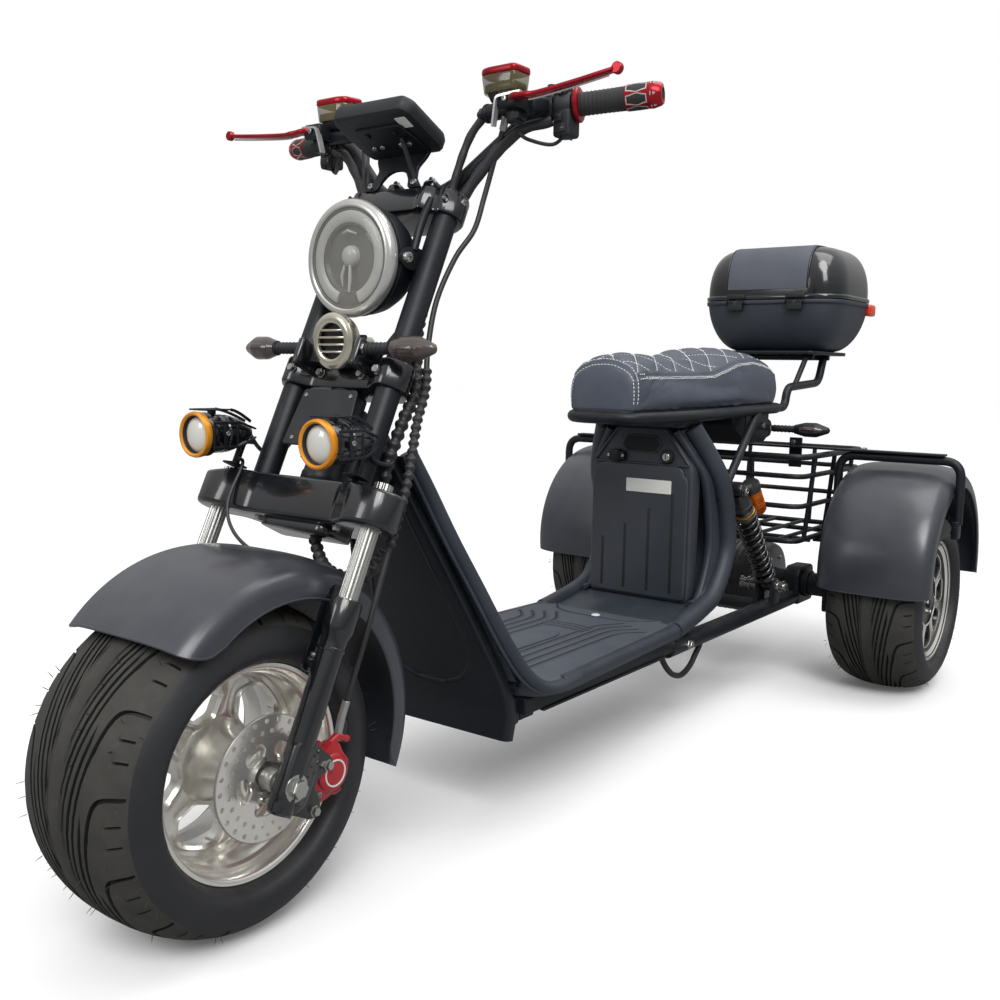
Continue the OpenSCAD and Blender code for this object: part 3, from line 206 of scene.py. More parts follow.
# A flat closed section, (across, up) for each point, carried along a path
def sweep(path, section, guide, closed=False, scale=1.0):
    path, section = np.asarray(path, float), np.asarray(section, float)
    _, side, up = pathFrames(path, closed, np.asarray(guide, float))
    scale = np.broadcast_to(np.asarray(scale, float), len(path))[:, None, None]
    rings = path[:, None] + scale * (section[None, :, :1] * side[:, None] + section[None, :, 1:]
        * up[:, None])
    return grid(rings, wrapRows=True, wrapCols=True) if closed else loft(rings)


# Section for a sweep: an oval of so many points, its half width and half height given, shifted across by a
# middle
def oval(across, up, count, middle=0):
    return [(middle + across * math.cos(t), up * math.sin(t)) for t in np.arange(count) * full / count]


def flatSection(across, low, high):
    return [(-across, low), (across, low), (across, high), (-across, high)]


# Distance along a path to each of its points, and the points at given distances
def lengthsAlong(path):
    return np.concatenate([[0], np.cumsum(np.linalg.norm(np.diff(path, axis=0), axis=1))])


def pointsAlong(path, run, way):
    return np.stack([np.interp(way, run, path[:, k]) for k in range(3)], -1)


# Box with round edges: a ball's longitudes and latitudes, each eighth pushed out to its own corner
def softBox(low, high, radius, steps=4, place=None):
    low, high = np.minimum(low, high).astype(float), np.maximum(low, high).astype(float)
    middle, half = (low + high) / 2, (high - low) / 2
    radius = np.minimum(radius, half * 0.98)
    lon = np.concatenate([np.linspace(k, k + 1, steps) for k in range(4)]) * np.pi / 2
    lat = np.concatenate([np.linspace(-1, 0, steps), np.linspace(0, 1, steps)]) * np.pi / 2
    sx = np.repeat([1, -1, -1, 1], steps)
    sy = np.repeat([1, 1, -1, -1], steps)
    sz = np.repeat([-1, 1], steps)
    x = np.cos(lat)[:, None] * np.cos(lon) * radius[0] + sx * (half[0] - radius[0])
    y = np.cos(lat)[:, None] * np.sin(lon) * radius[1] + sy * (half[1] - radius[1])
    z = (np.sin(lat) * radius[2] + sz * (half[2] - radius[2]))[:, None] * np.ones(len(lon))
    p = np.stack([x, y, z], -1) + middle
    return loft(place(p[..., 0], p[..., 1], p[..., 2]) if place else p)


def cornered(points, radius, steps=5):
    return rounded(points, radius, steps, closed=True)


# Plate: a closed outline (a, b) between two levels, its edges rounded by a bevel, flat ends as single faces
def plate(outline, low, high, bevel, place, steps=3):
    p = np.asarray(outline, float)
    e = unit(np.roll(p, -1, 0) - np.roll(p, 1, 0))
    area = np.sum(p[:, 0] * np.roll(p[:, 1], -1) - np.roll(p[:, 0], -1) * p[:, 1])
    inward = np.stack([-e[:, 1], e[:, 0]], -1) * np.sign(area)
    turn = np.linspace(0, np.pi / 2, steps)
    inset = np.concatenate([1 - np.sin(turn), 1 - np.cos(turn)]) * bevel
    level = np.concatenate([low + bevel * (1 - np.cos(turn)), high - bevel * (1 - np.sin(turn))])
    rings = p[None] + inset[:, None, None] * inward[None]
    verts, faces = grid(place(rings[..., 0], rings[..., 1], level[:, None] * np.ones(len(p))),
        wrapCols=True)
    n = len(p)
    return verts, faces + [list(range(n))[::-1], list(range(len(verts) - n, len(verts)))]


# Places for a plate's outline: in the side plane, in the plane of the fork's side, and facing ahead
def sideways(a, b, h):
    return at(a, h, b)


def besideFork(a, b, h):
    return onFork(a, h, b)


def facingAhead(a, b, h):
    return at(h, a, b)


# Screw head: six-sided head or round head with a six-sided socket, standing on a point along an axis
def bolt(point, axis, radius, height, socket=True):
    if socket:
        profile = [(radius, 0), (radius, height * 0.7), (radius * 0.9, height * 0.95),
            (radius * 0.8, height), (radius * 0.52, height), (radius * 0.48, height * 0.4),
            (0, height * 0.38)]
        return lathe(profile, point, axis, 24)
    profile = [(radius * 1.25, 0), (radius * 1.25, height * 0.16), (radius, height * 0.18),
        (radius, height * 0.8), (radius * 0.9, height), (radius * 0.2, height * 0.98), (0, height * 0.97)]
    return lathe(profile, point, axis, 6)


# Ring of equal plates round the Y axis, each with a hole. Across a plate, t goes from its border to the
# hole's edge along rays from the middle; hole gives the ray's length. Levels are the plate's height at
# border, lip, edge, back
def holedRing(count, inner, outer, hole, levels, origin, turn=0.0, steps=48, lip=5.0):
    middle, halfR = (inner + outer) / 2, (outer - inner) / 2
    halfA = middle * np.pi / count
    t = (np.arange(steps) + 0.5) * full / steps
    corner = np.arctan2(halfR, halfA)
    marks = np.sort(np.concatenate([t, [corner, np.pi - corner, np.pi + corner, full - corner]]))
    ca, sa = np.cos(marks), np.sin(marks)
    edge = np.minimum(halfA / np.maximum(np.abs(ca), 1e-9), halfR / np.maximum(np.abs(sa), 1e-9))
    cut = np.minimum(hole(ca, sa), edge * 0.96)
    lipAt = np.minimum(cut + lip, edge * 0.985)
    rays = np.stack([edge, edge * 0.5 + lipAt * 0.5, lipAt, cut * 0.35 + lipAt * 0.65, cut, cut, edge])
    border, rise, front, back = levels
    heights = np.array([border, border, (border + rise) / 2, rise, front, back, back])
    k = np.arange(count)[:, None, None]
    phi = turn + (k + (rays * ca)[None] / (2 * halfA)) * full / count
    r = middle + (rays * sa)[None] * np.ones_like(phi)
    y = heights[None, :, None] * np.ones_like(phi)
    p = np.asarray(origin, float) + np.stack([r * np.sin(phi), y, r * np.cos(phi)], -1)
    return join(*[grid(p[i], wrapCols=True) for i in range(count)])


triangleCount = {}


# One mesh object from shapes, each with its finish's name or a material, or with several and a number for
# each face; points closer than 5 micrometres are merged within a shape
def addPiece(name, body, parts, nodes=(), angle=38):
    verts, faces, marks, materials, base = [], [], [], [], 0
    for (v, f), material in parts:
        given, faceMarks = material if isinstance(material, tuple) else ([material], [0] * len(f))
        given = [finishes.get(m, m) for m in given]
        materials += [m for m in given if m not in materials]
        slots = [materials.index(m) for m in given]
        v = np.asarray(v, float) * 0.001
        _, first, back = np.unique(np.round(v * 2e5).astype(np.int64), axis=0, return_index=True,
            return_inverse=True)
        back = back.ravel() + base
        for q, mark in zip(f, faceMarks):
            q = list(dict.fromkeys(back[q].tolist()))
            if len(q) > 2:
                faces.append(q)
                marks.append(slots[mark])
        verts.append(v[first])
        base += len(first)
    mesh = bpy.data.meshes.new(name)
    mesh.from_pydata(np.concatenate(verts).tolist(), [], faces)
    mesh.polygons.foreach_set("material_index", marks)
    for material in materials:
        mesh.materials.append(material)
    tidy = bmesh.new()
    tidy.from_mesh(mesh)
    bmesh.ops.recalc_face_normals(tidy, faces=tidy.faces)
    tidy.to_mesh(mesh)
    tidy.free()
    mesh.shade_smooth()
    mesh.set_sharp_from_angle(angle=math.radians(angle))
    obj = bpy.data.objects.new(name, mesh)
    bpy.context.scene.collection.objects.link(obj)
    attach(obj, body)
    if nodes:
        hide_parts(*nodes)
    triangleCount[name] = sum(len(q) - 2 for q in faces)
    return obj


# A shader value; sums and products with numbers or other values become Math nodes
class Value:
    def __init__(self, tree, socket):
        self.tree, self.socket = tree, socket

    def op(self, name, *others):
        node = self.tree.nodes.new("ShaderNodeMath")
        node.operation = name
        for k, v in enumerate((self,) + others):
            if isinstance(v, Value):
                self.tree.links.new(v.socket, node.inputs[k])
            else:
                node.inputs[k].default_value = v
        return Value(self.tree, node.outputs[0])

    def __add__(self, o):
        return self.op("ADD", o)

    def __sub__(self, o):
        return self.op("SUBTRACT", o)

    def __mul__(self, o):
        return self.op("MULTIPLY", o)

    def __truediv__(self, o):
        return self.op("DIVIDE", o)

    def __pow__(self, o):
        return self.op("POWER", o)

    def __neg__(self):
        return self.op("MULTIPLY", -1.0)

    def __rsub__(self, o):
        return -self + o

    def __rtruediv__(self, o):
        return self ** -1.0 * o

    __radd__ = __add__
    __rmul__ = __mul__

    # Rises from 0 to 1 between two numbers
    def ramp(self, low, high):
        return ((self - low) / (high - low)).op("MINIMUM", 1.0).op("MAXIMUM", 0.0)


# A material under construction: its tree, and one method that adds every other kind of node
class Shade:
    def __init__(self, name):
        self.material = bpy.data.materials.new(name)
        self.material.use_nodes = True
        self.tree = self.material.node_tree
        self.surface = self.tree.nodes["Principled BSDF"]
        self.place = self.node("ShaderNodeTexCoord").outputs["Object"]

    def node(self, kind, settings=None, inputs=None):
        made = self.tree.nodes.new(kind)
        for key, value in (settings or {}).items():
            setattr(made, key, value)
        self.fill(made, inputs or {})
        return made

    def fill(self, made, inputs):
        for key, value in inputs.items():
            if isinstance(value, Value):
                value = value.socket
            if isinstance(value, bpy.types.NodeSocket):
                self.tree.links.new(value, made.inputs[key])
            else:
                made.inputs[key].default_value = value

    def noise(self, scale, detail=3.0):
        made = self.node("ShaderNodeTexNoise", None,
            {"Vector": self.place, "Scale": scale, "Detail": detail})
        return Value(self.tree, made.outputs[0])

    # How far the surface faces up, from 0 to 1
    def upward(self):
        normal = self.node("ShaderNodeNewGeometry").outputs["Normal"]
        made = self.node("ShaderNodeSeparateXYZ", None, {"Vector": normal})
        return Value(self.tree, made.outputs[2]).ramp(0.1, 1.0)

    def mix(self, share, a, b):
        made = self.node("ShaderNodeMix", {"data_type": "RGBA"})
        self.fill(made, {0: share, 6: a, 7: b})
        return made.outputs[2]


def colour(red, green, blue):
    return tuple((c / 12.92 if c <= 0.04045 else ((c + 0.055) / 1.055) ** 2.4)
        for c in (red / 255, green / 255, blue / 255)) + (1.0,)


# What a look has where it names nothing else, and how the noises of all looks are spread
plainLook = dict(slow=9.0, grain=420.0, detail=3.0, depth=0.0006, scuff=0.25, dust=0.1, metal=0.0, coat=0.0,
    coatRough=0.08, specular=0.5, alpha=1.0)
noiseLook = dict(wander=0.08, scuffs=60.0, dust=24.0, dustTone=(150, 146, 138), dustRough=0.4,
    scuffRough=0.12)


# Finish from a look: two tones mixed by slow noise, roughness that wanders, fine grain as bump, dust on
# faces that look up, scuffs where fine noise peaks
def finish(name, given):
    look = {"worn": given["tone"], **plainLook, **given}
    s = Shade(name)
    slow = s.noise(look["slow"], 4.0).ramp(0.32, 0.68)
    fine = s.noise(look["grain"], look["detail"])
    scuff = s.noise(noiseLook["scuffs"], 6.0).ramp(0.62, 0.78) * look["scuff"]
    dust = s.upward() * s.noise(noiseLook["dust"], 5.0).ramp(0.35, 0.75) * look["dust"]
    tone = s.mix(slow, colour(*look["tone"]), colour(*look["shade"]))
    tone = s.mix(scuff, tone, colour(*look["worn"]))
    tone = s.mix(dust, tone, colour(*noiseLook["dustTone"]))
    rough = slow * noiseLook["wander"] + (look["rough"] - noiseLook["wander"] / 2)
    rough = rough + dust * noiseLook["dustRough"] + scuff * noiseLook["scuffRough"]
    bump = s.node("ShaderNodeBump", None,
        {"Height": fine, "Strength": look["bump"], "Distance": look["depth"]})
    s.fill(s.surface, {"Base Color": tone, "Roughness": rough, "Metallic": look["metal"],
        "Coat Weight": look["coat"], "Coat Roughness": look["coatRough"],
        "Specular IOR Level": look["specular"], "Alpha": look["alpha"], "Normal": bump.outputs[0]})
    return s.material


# Two tones, the roughness, the grain's height, and what differs from a plain look
def look(tone, shade, rough, bump, **others):
    return dict(tone=tone, shade=shade, rough=rough, bump=bump, **others)


looks = dict(rubber=look((30, 30, 32), (38, 38, 40), 0.62, 0.3, dust=0.08),
    tread=look((58, 57, 53), (48, 47, 45), 0.72, 0.4, slow=30.0, scuff=0.3, worn=(90, 87, 80), dust=0.1),
    # Painted shade: a near black laid on grooves, slits and slots, where their recess would be dark
    paintedGrooveShade=look((20, 20, 21), (26, 26, 27), 0.7, 0.3, dust=0.02),
    sidewall=look((30, 31, 35), (38, 39, 43), 0.5, 0.3, dust=0.08),
    rimAlloy=look((246, 244, 238), (232, 230, 224), 0.2, 0.1, metal=0.82, grain=300.0, dust=0.03,
        scuff=0.14, worn=(170, 169, 165)),
    glossBlack=look((14, 16, 21), (20, 22, 27), 0.2, 0.03, coat=0.7, grain=160.0, dust=0.05, scuff=0.1,
        worn=(60, 61, 64)),
    satinBlack=look((20, 23, 29), (27, 30, 36), 0.42, 0.12, dust=0.08, worn=(62, 62, 64), specular=0.32),
    mattBlack=look((26, 28, 31), (34, 36, 40), 0.58, 0.35, dust=0.1),
    greyPaint=look((48, 51, 59), (56, 59, 67), 0.34, 0.1, coat=0.4, coatRough=0.2, grain=900.0, dust=0.08,
        scuff=0.12),
    moulding=look((40, 46, 55), (49, 55, 64), 0.46, 0.5, grain=1400.0, dust=0.05, scuff=0.1,
        worn=(70, 73, 78)),
    deckMat=look((62, 68, 79), (70, 76, 87), 0.56, 0.5, grain=1200.0, dust=0.05),
    batteryShell=look((47, 51, 58), (55, 59, 66), 0.46, 0.45, grain=1500.0, dust=0.06),
    chrome=look((192, 192, 188), (168, 168, 166), 0.2, 0.04, metal=0.9, grain=80.0, dust=0.03, scuff=0.1,
        worn=(150, 150, 150)),
    horn=look((226, 222, 206), (206, 202, 186), 0.2, 0.05, metal=0.9, grain=60.0, dust=0.03, scuff=0.12,
        worn=(160, 156, 144)),
    alloy=look((222, 221, 217), (200, 199, 196), 0.26, 0.1, metal=0.65, grain=300.0, dust=0.05, scuff=0.16,
        worn=(130, 130, 130)),
    blackAlloy=look((28, 29, 31), (38, 39, 41), 0.34, 0.1, coat=0.3, dust=0.12, scuff=0.2,
        worn=(70, 70, 72)),
    steel=look((180, 179, 176), (152, 152, 150), 0.34, 0.15, metal=0.65, grain=500.0, dust=0.06, scuff=0.2,
        worn=(96, 94, 92)),
    redAnodised=look((176, 16, 36), (148, 10, 26), 0.26, 0.06, metal=0.5, grain=300.0, dust=0.04,
        scuff=0.12, worn=(206, 80, 84)),
    redPaint=look((186, 12, 32), (160, 8, 24), 0.3, 0.15, coat=0.5, dust=0.06, scuff=0.2,
        worn=(120, 40, 42)),
    amberRing=look((246, 166, 44), (226, 140, 26), 0.32, 0.06, metal=0.35, dust=0.04),
    gold=look((190, 150, 70), (160, 122, 52), 0.3, 0.08, metal=0.9),
    orangeCan=look((236, 128, 24), (206, 100, 14), 0.3, 0.06, metal=0.5),
    gripRubber=look((34, 35, 37), (44, 45, 47), 0.66, 0.6, grain=700.0, dust=0.08),
    leather=look((68, 74, 87), (80, 86, 99), 0.45, 0.55, grain=1100.0, detail=5.0, depth=0.0008, dust=0.06,
        scuff=0.15, worn=(96, 97, 101)),
    thread=look((232, 232, 232), (206, 206, 208), 0.7, 0.3),
    cable=look((32, 32, 35), (46, 46, 49), 0.45, 0.3, dust=0.1),
    caseMatt=look((50, 56, 65), (58, 64, 73), 0.54, 0.6, grain=1600.0, dust=0.1),
    casePad=look((78, 82, 92), (88, 92, 102), 0.6, 0.5, grain=1300.0, dust=0.04),
    caseGloss=look((17, 19, 23), (24, 26, 30), 0.16, 0.02, coat=0.8, grain=60.0, dust=0.05, scuff=0.1,
        worn=(50, 50, 53)),
    frosted=look((178, 178, 172), (160, 160, 155), 0.35, 0.1, coat=0.6, dust=0.02),
    lampDark=look((98, 97, 93), (84, 83, 80), 0.3, 0.08, coat=0.6, dust=0.02),
    clearLens=look((214, 214, 208), (200, 200, 196), 0.06, 0.02, grain=60.0, dust=0.02, coat=1.0,
        alpha=0.16),
    spotLens=look((222, 222, 214), (204, 204, 198), 0.12, 0.05, coat=1.0, dust=0.02),
    smokeLens=look((66, 57, 55), (78, 68, 64), 0.2, 0.05, coat=0.6, dust=0.05),
    redLens=look((150, 26, 28), (122, 16, 20), 0.2, 0.06, coat=0.6, dust=0.05),
    reflector=look((232, 62, 30), (206, 44, 20), 0.22, 0.3, grain=240.0, coat=0.6, dust=0.03),
    tankShell=look((118, 108, 66), (90, 84, 56), 0.1, 0.03, coat=1.0, dust=0.02, alpha=0.62),
    reservoir=look((120, 104, 70), (92, 80, 56), 0.14, 0.04, coat=0.8, dust=0.02),
    sticker=look((226, 226, 220), (210, 210, 205), 0.5, 0.05))
finishes = {name: finish(name, given) for name, given in looks.items()}
print("finishes made:", len(finishes))

tyreLook = {"grooves": 13, "sweep": 92.0, "bend": 0.6, "softness": 0.07, "width": 5.6, "depth": 5.5,
    "sipe": 3.6, "sipeDepth": 4.0, "shortEnd": 0.42, "hairs": 150, "hairLength": 9.0}


# How far round a groove has run at a share s of the half tread: straight up to the bend, level after it
def grooveRun(s):
    def hook(x):
        return (x + np.sqrt(x * x + tyreLook["softness"] ** 2)) / 2
    b = tyreLook["bend"]
    return math.radians(tyreLook["sweep"]) * (1 - hook(b - s) / hook(b))


# Tyre: the section's points carried round the axle, each row turned by its grooves' run, so that a groove
# is a strip of columns. Columns of one pitch: a long groove's four edges, then four that are a short groove
# near the middle and the first cut at the shoulder, then the second cut. Lands, grooves and walls are
# marked 0, 1 and 2. The section is drawn for the front tyre
def tyre(radius, half, middle):
    drop = radius - frontTyre[0]
    knots = smoothPath([(0, 217), (32, 215.8), (60, 211), (83, 203), (98, 192), (107.5, 177), (112, 160),
        (108, 149), (99, 142.5), (88.4, 139.6), (84, 136)], 7)
    y, r = knots[:, 0] * half / frontTyre[1], knots[:, 1] + drop * ease(139, 190, knots[:, 1])
    s = np.maximum.accumulate(y / (0.955 * half))
    y, r, s = np.concatenate([-y[:0:-1], y]), np.concatenate([r[:0:-1], r]), np.concatenate([s[:0:-1], s])
    slope = np.gradient(grooveRun(np.linspace(0, 1.25, 400)), 1.25 / 399)
    steep = np.interp(s, np.linspace(0, 1.25, 400), slope) * radius / half
    count = tyreLook["grooves"]
    pitch = full / count
    edge = np.minimum(tyreLook["width"] / 2 * np.sqrt(1 + steep ** 2) / radius / pitch, 0.2)
    cut = tyreLook["sipe"] / 2 / radius / pitch
    columns = 13
    even = np.arange(columns) / columns - 2 / columns
    live = ease(0.08, 0.2, s)
    out = ease(tyreLook["shortEnd"] + 0.02, 0.68, s)[:, None]
    short = 0.5 + edge[:, None] * np.array([-0.9, -0.66, 0.66, 0.9])
    cuts = np.array([0.42 - cut, 0.42, 0.42 + cut, 0.55])
    long = np.stack([-edge, -0.72 * edge, 0.72 * edge, edge], -1)
    rest = np.ones((len(s), 1)) * np.array([0.68 - cut, 0.68, 0.68 + cut, 0.8])
    wide = edge[:, None]
    between = 0.5 * (long[:, -1:] + short[:, :1])
    after = 0.5 + 0.9 * wide + (0.5 - 0.95 * wide) * np.array([0.24, 0.44, 0.64, 0.84])
    phase = np.concatenate([long, between * (1 - out) + 0.3 * out, short * (1 - out) + cuts * out,
        rest * out + after * (1 - out)], -1)
    phase = even * (1 - live[:, None]) + phase * live[:, None]
    grooveDeep = tyreLook["depth"] * ease(0.1, 0.17, s) * (1 - ease(0.89, 0.93, s))
    sipeDeep = tyreLook["sipeDepth"] * ease(0.74, 0.76, s) * (1 - ease(0.88, 0.9, s))
    deep = np.zeros_like(phase)
    deep[:, 1:3] = grooveDeep[:, None]
    deep[:, 6:8] = (grooveDeep
        * (1 - ease(tyreLook["shortEnd"] - 0.02, tyreLook["shortEnd"] + 0.02, s)))[:, None]
    deep[:, 6] += sipeDeep
    deep[:, 10] = sipeDeep
    turn = (np.arange(count)[None, :, None] + phase[:, None, :]).reshape(len(y), -1) * pitch
    deep = np.tile(deep, (1, count))
    turn = turn + grooveRun(np.minimum(s, 0.94))[:, None] + np.where(y < 0, 0.5 * pitch,
        0)[:, None] * live[:, None]
    rib = 0.5 * np.sin(r * 1.9) * ease(1.08, 1.14, s)
    face = r[:, None] - deep + rib[:, None]
    skin = middle + np.stack([face * np.cos(turn), y[:, None] * np.ones_like(turn), face * np.sin(turn)],
        -1)
    # Faces sunk in grooves and cuts take painted groove shade, a near black standing for the shade in them
    sunk = deep > 0.6 * tyreLook["sipeDepth"]
    sunk = sunk[:-1] | sunk[1:]
    sunk = sunk | np.roll(sunk, -1, 1)
    walls = (s[:-1] > 0.93)[:, None] & (s[1:] > 0.93)[:, None]
    marks = np.where(sunk, 1, np.where(walls, 2, 0)).ravel()
    return grid(skin, wrapCols=True), (["tread", "paintedGrooveShade", "sidewall"], marks.tolist())


# Rubber hairs: thin spikes standing out from the shoulders and crown
def hairs(radius, half, middle, seed):
    rng = np.random.default_rng(seed)
    shapes = []
    count = tyreLook["hairs"]
    turns = rng.uniform(0, full, count)
    sides = rng.choice([-0.93, -0.7, -0.25, 0.25, 0.7, 0.93], count)
    for a, b, tilt in zip(turns, sides, rng.normal(0, 0.25, (count, 3))):
        r = radius - 30 * abs(b) ** 3.2
        out = np.array([math.cos(a), b * 0.35, math.sin(a)])
        foot = middle + [r * math.cos(a), b * half, r * math.sin(a)]
        if foot[2] < 30:
            continue
        tip = foot + unit(out + tilt) * tyreLook["hairLength"]
        shapes.append(tube([foot - out, (foot + tip) / 2 + tilt, tip], [0.55, 0.45, 0.2], 4))
    return join(*shapes)


# Six-sided window: the ray's length to the nearer of the flat and the slanted sides
def sixSided(halfAcross, halfUp, point=0.55):
    def hole(ca, sa):
        flat = halfUp / np.maximum(np.abs(sa), 1e-6)
        slant = 1 / (np.abs(ca) / halfAcross + np.abs(sa) * (1 - point) / halfUp)
        return (flat ** -7 + slant ** -7) ** (-1 / 7)
    return hole


def roundHole(radius):
    return lambda ca, sa: radius + 0 * ca


# Rim barrel: a profile of (radius, width) turned about the axle, drawn from the outer lip through the well
# and back
def barrel(middle, dish, depth):
    lip = [(131, 84), (139, 84.5), (140, 87), (138.5, 89.5), (134, 89), (131, 86), (129, 80), (126.5, 76),
        (126, 66), (122, 62), (121, dish + 6), (116, dish), (116, dish - depth), (121, dish - depth - 6),
        (122, -62), (127, -70), (129, -80), (131, -86), (134, -89), (138.5, -89.5), (140, -87),
        (139, -84.5), (131, -84), (124, -60), (118, 0), (124, 60), (131, 84)]
    return lathe(lip, middle, leftAxis, 96)


frontMiddle = np.array([frontAxle, 0, frontTyre[0]])
addPiece("front_tyre_tread", "front_wheel",
    [tyre(*frontTyre, frontMiddle), (hairs(*frontTyre, frontMiddle, 4), "rubber")], ["front_tyre"],
    44)
hubProfile = [(0, 100), (12, 100), (12, 107), (30, 107), (34, 105), (35, 84), (37, 60), (40, 40), (46, 24),
    (52, 16), (55, 13), (54, 8), (44, 2), (40, -10), (37, -40), (36, -68), (30, -70), (9, -70)]
addPiece("front_wheel_rim", "front_wheel", [(barrel(frontMiddle, 18, 20), "rimAlloy"),
    (holedRing(5, 52, 117, sixSided(35, 26, 0.62), (12, 17, 13, 0), frontMiddle, 0.32, lip=8), "rimAlloy"),
    (lathe(hubProfile, frontMiddle, leftAxis, 64), "rimAlloy")], ["front_rim"], 40)
discAt = frontMiddle + [0, 110, 0]
discLevels = (4, 4, 4, 0)
discBolts = [bolt(discAt + [27 * math.sin(a), 3.5, 27 * math.cos(a)], leftAxis, 4, 4)
    for a in np.arange(5) * full / 5 + 0.3]
discEdge = [(80, 0.6), (80, 3.4), (79.4, 4), (79, 4), (79, 0), (79.4, 0), (80, 0.6)]
addPiece("front_brake_disc", "front_wheel",
    [(holedRing(24, 66, 79.2, roundHole(3.4), discLevels, discAt, 0.0, 20, 0.5), "rimAlloy"),
    (holedRing(24, 53, 66, roundHole(3.2), discLevels, discAt, full / 48, 20, 0.5), "rimAlloy"),
    (holedRing(5, 21, 53, sixSided(17, 11.5, 0.7), discLevels, discAt, 0.5, 36, 0.6), "rimAlloy"),
    (lathe(discEdge, discAt, leftAxis, 96), "steel"), (join(*discBolts), "chrome")], ["front_disc"])


# Rear wheel on one side, 1 for left: tyre, black barrel and web, machined spoke faces, hub cap and nuts
def rearWheel(side, word):
    middle = np.array([rearAxle, side * rearHalfTrack, rearTyre[0]])
    name = "rear_" + word
    body = name + "_wheel"
    addPiece(name + "_tyre_tread", body,
        [tyre(*rearTyre, middle), (hairs(*rearTyre, middle, 6 + side), "rubber")], [name + "_tyre"],
        44)
    flip = mirrored if side < 0 else (lambda shape: shape)
    centre = middle * [1, side, 1]
    spokes = holedRing(8, 56, 117, sixSided(23, 24, 0.8), (74, 77, 74, 54), centre, 0.1, lip=4)
    faces = holedRing(8, 58, 116, sixSided(25.5, 25, 0.8), (76.4, 78.2, 77.4, 74), centre, 0.1, lip=3)
    hub = [(0, 86), (15, 86), (18, 84), (19, 77), (34, 77), (38, 75), (58, 74), (58, 56), (45, 50),
        (44, -40), (38, -44), (14, -44)]
    lip = [(119, 77), (126, 80.4), (132, 86.6), (134, 89.5), (138.5, 90), (140.4, 87), (139.4, 84.3),
        (126, 79), (119, 76)]
    nuts = [bolt(centre + [27 * math.sin(a), 77, 27 * math.cos(a)], leftAxis, 5, 7, False)
        for a in np.arange(4) * full / 4]
    addPiece(name + "_wheel_rim", body, [(flip(barrel(centre, 76, 22)), "blackAlloy"),
        (flip(spokes), "blackAlloy"), (flip(faces), "rimAlloy"),
        (flip(lathe(hub, centre, leftAxis, 64)), "blackAlloy"),
        (flip(lathe(lip, centre, leftAxis, 96)), "rimAlloy"), (flip(join(*nuts)), "chrome")],
        [name + "_rim"], 40)


rearWheel(1, "left")
rearWheel(-1, "right")
print("wheels made")

guardLook = {"edge": 2.2, "thickness": 3.4,
    "front": dict(radius=231, half=124, start=41, end=205, q=0.6, corners=(46, 30)),
    "rear": dict(radius=243, half=125, start=-8, end=188, q=0.62, corners=(14, 14))}


# Mudguard: a flattened arch section turned about the wheel. Across, the angle a goes from one skirt over
# the crown to the other; width is half times the power q of its sine, drop is skirt times one less the
# power q of its cosine. The ends draw back near the skirts by an arc of each corner's radius
def mudguard(middle, skirt, radius, half, start, end, q, corners, rows=72, cols=100):
    a = np.linspace(-1, 1, cols) * np.pi / 2
    sine, cosine = np.sin(a), np.cos(a)
    y = half * np.sign(sine) * np.abs(sine) ** q
    t = np.linspace(0, 1, rows)[:, None]
    fall = skirt(start) * (1 - np.abs(cosine) ** q)
    run = np.concatenate([[0], np.cumsum(np.hypot(np.diff(y), np.diff(fall)))])
    inward = np.minimum(run, run[-1] - run)
    pull = [np.degrees(c * (1 - np.sqrt(1 - np.clip(1 - inward / c, 0, 1) ** 2)) / radius) for c in corners]
    theta = np.radians((start + pull[0]) * (1 - t) + (end - pull[1]) * t)
    drop = skirt(np.degrees(theta)) * (1 - np.abs(cosine) ** q)

    def layer(inset):
        r = radius - inset - drop + inset * 0.6 * np.abs(sine) ** 8
        w = y * (half - inset) / half
        return np.asarray(middle,
            float) + np.stack([r * np.cos(theta), w * np.ones_like(theta), r * np.sin(theta)], -1)

    outer, inner = layer(0), layer(guardLook["thickness"])
    edge = np.concatenate([outer[0], outer[1:, -1], outer[-1, -2::-1], outer[-2:0:-1, 0]])
    seam = np.concatenate([inner[0], inner[1:, -1], inner[-1, -2::-1], inner[-2:0:-1, 0]])
    rim = tube(edge * 0.55 + seam * 0.45, guardLook["edge"], 8, closed=True)
    return join(grid(outer), grid(inner), rim)


# Depth of the skirts at an angle in degrees: even at the rear, drawn up a little at the front guard's tail
def frontSkirt(angle):
    return 50 - 4 * ease(150, 205, angle)


def rearSkirt(angle):
    return 46 + 0 * angle


tabOutline = cornered([(-13, 137), (13, 137), (13, 240), (4, 252), (-40, 262), (-30, 200), (-13, 180)], 9)
tab = plate(tabOutline, 120.2, 124, 1, besideFork)
tabBolts = [bolt(onFork(u, 124, s), leftAxis, 6, 8) for u, s in ((-1, 158), (-3, 222))]
boss = lathe([(0, 0), (8, 0), (8, 9.2), (0, 9.2)], onFork(0, 123.6, 150), leftAxis, 24)
addPiece("front_mudguard_shell", "steering",
    [(mudguard(at(40, 0, 255), frontSkirt, **guardLook["front"]), "greyPaint"),
    (bothSides(tab, boss), "glossBlack"), (bothSides(*tabBolts), "chrome")], ["front_mudguard"])
rearGuard = mudguard((rearAxle - 15, 380, 283), rearSkirt, **guardLook["rear"])
addPiece("rear_mudguard_shells", "frame", [(bothSides(rearGuard), "greyPaint")], ["rear_mudguards"])
print("mudguards made")

# Where the fork's legs, upper tubes and stem stand: u ahead of the legs' plane, y to the left
forkLook = {"leg": (0, 150), "tube": (-12, 92), "stem": (-30, 0)}
legFoot, tubeFoot, stemFoot = (onFork(*forkLook[k], 0) for k in ("leg", "tube", "stem"))
legAxis, downAxis = (-math.sin(rake), 0, math.cos(rake)), (math.sin(rake), 0, -math.cos(rake))
aheadAxis, aftAxis = (math.cos(rake), 0, math.sin(rake)), (-math.cos(rake), 0, -math.sin(rake))


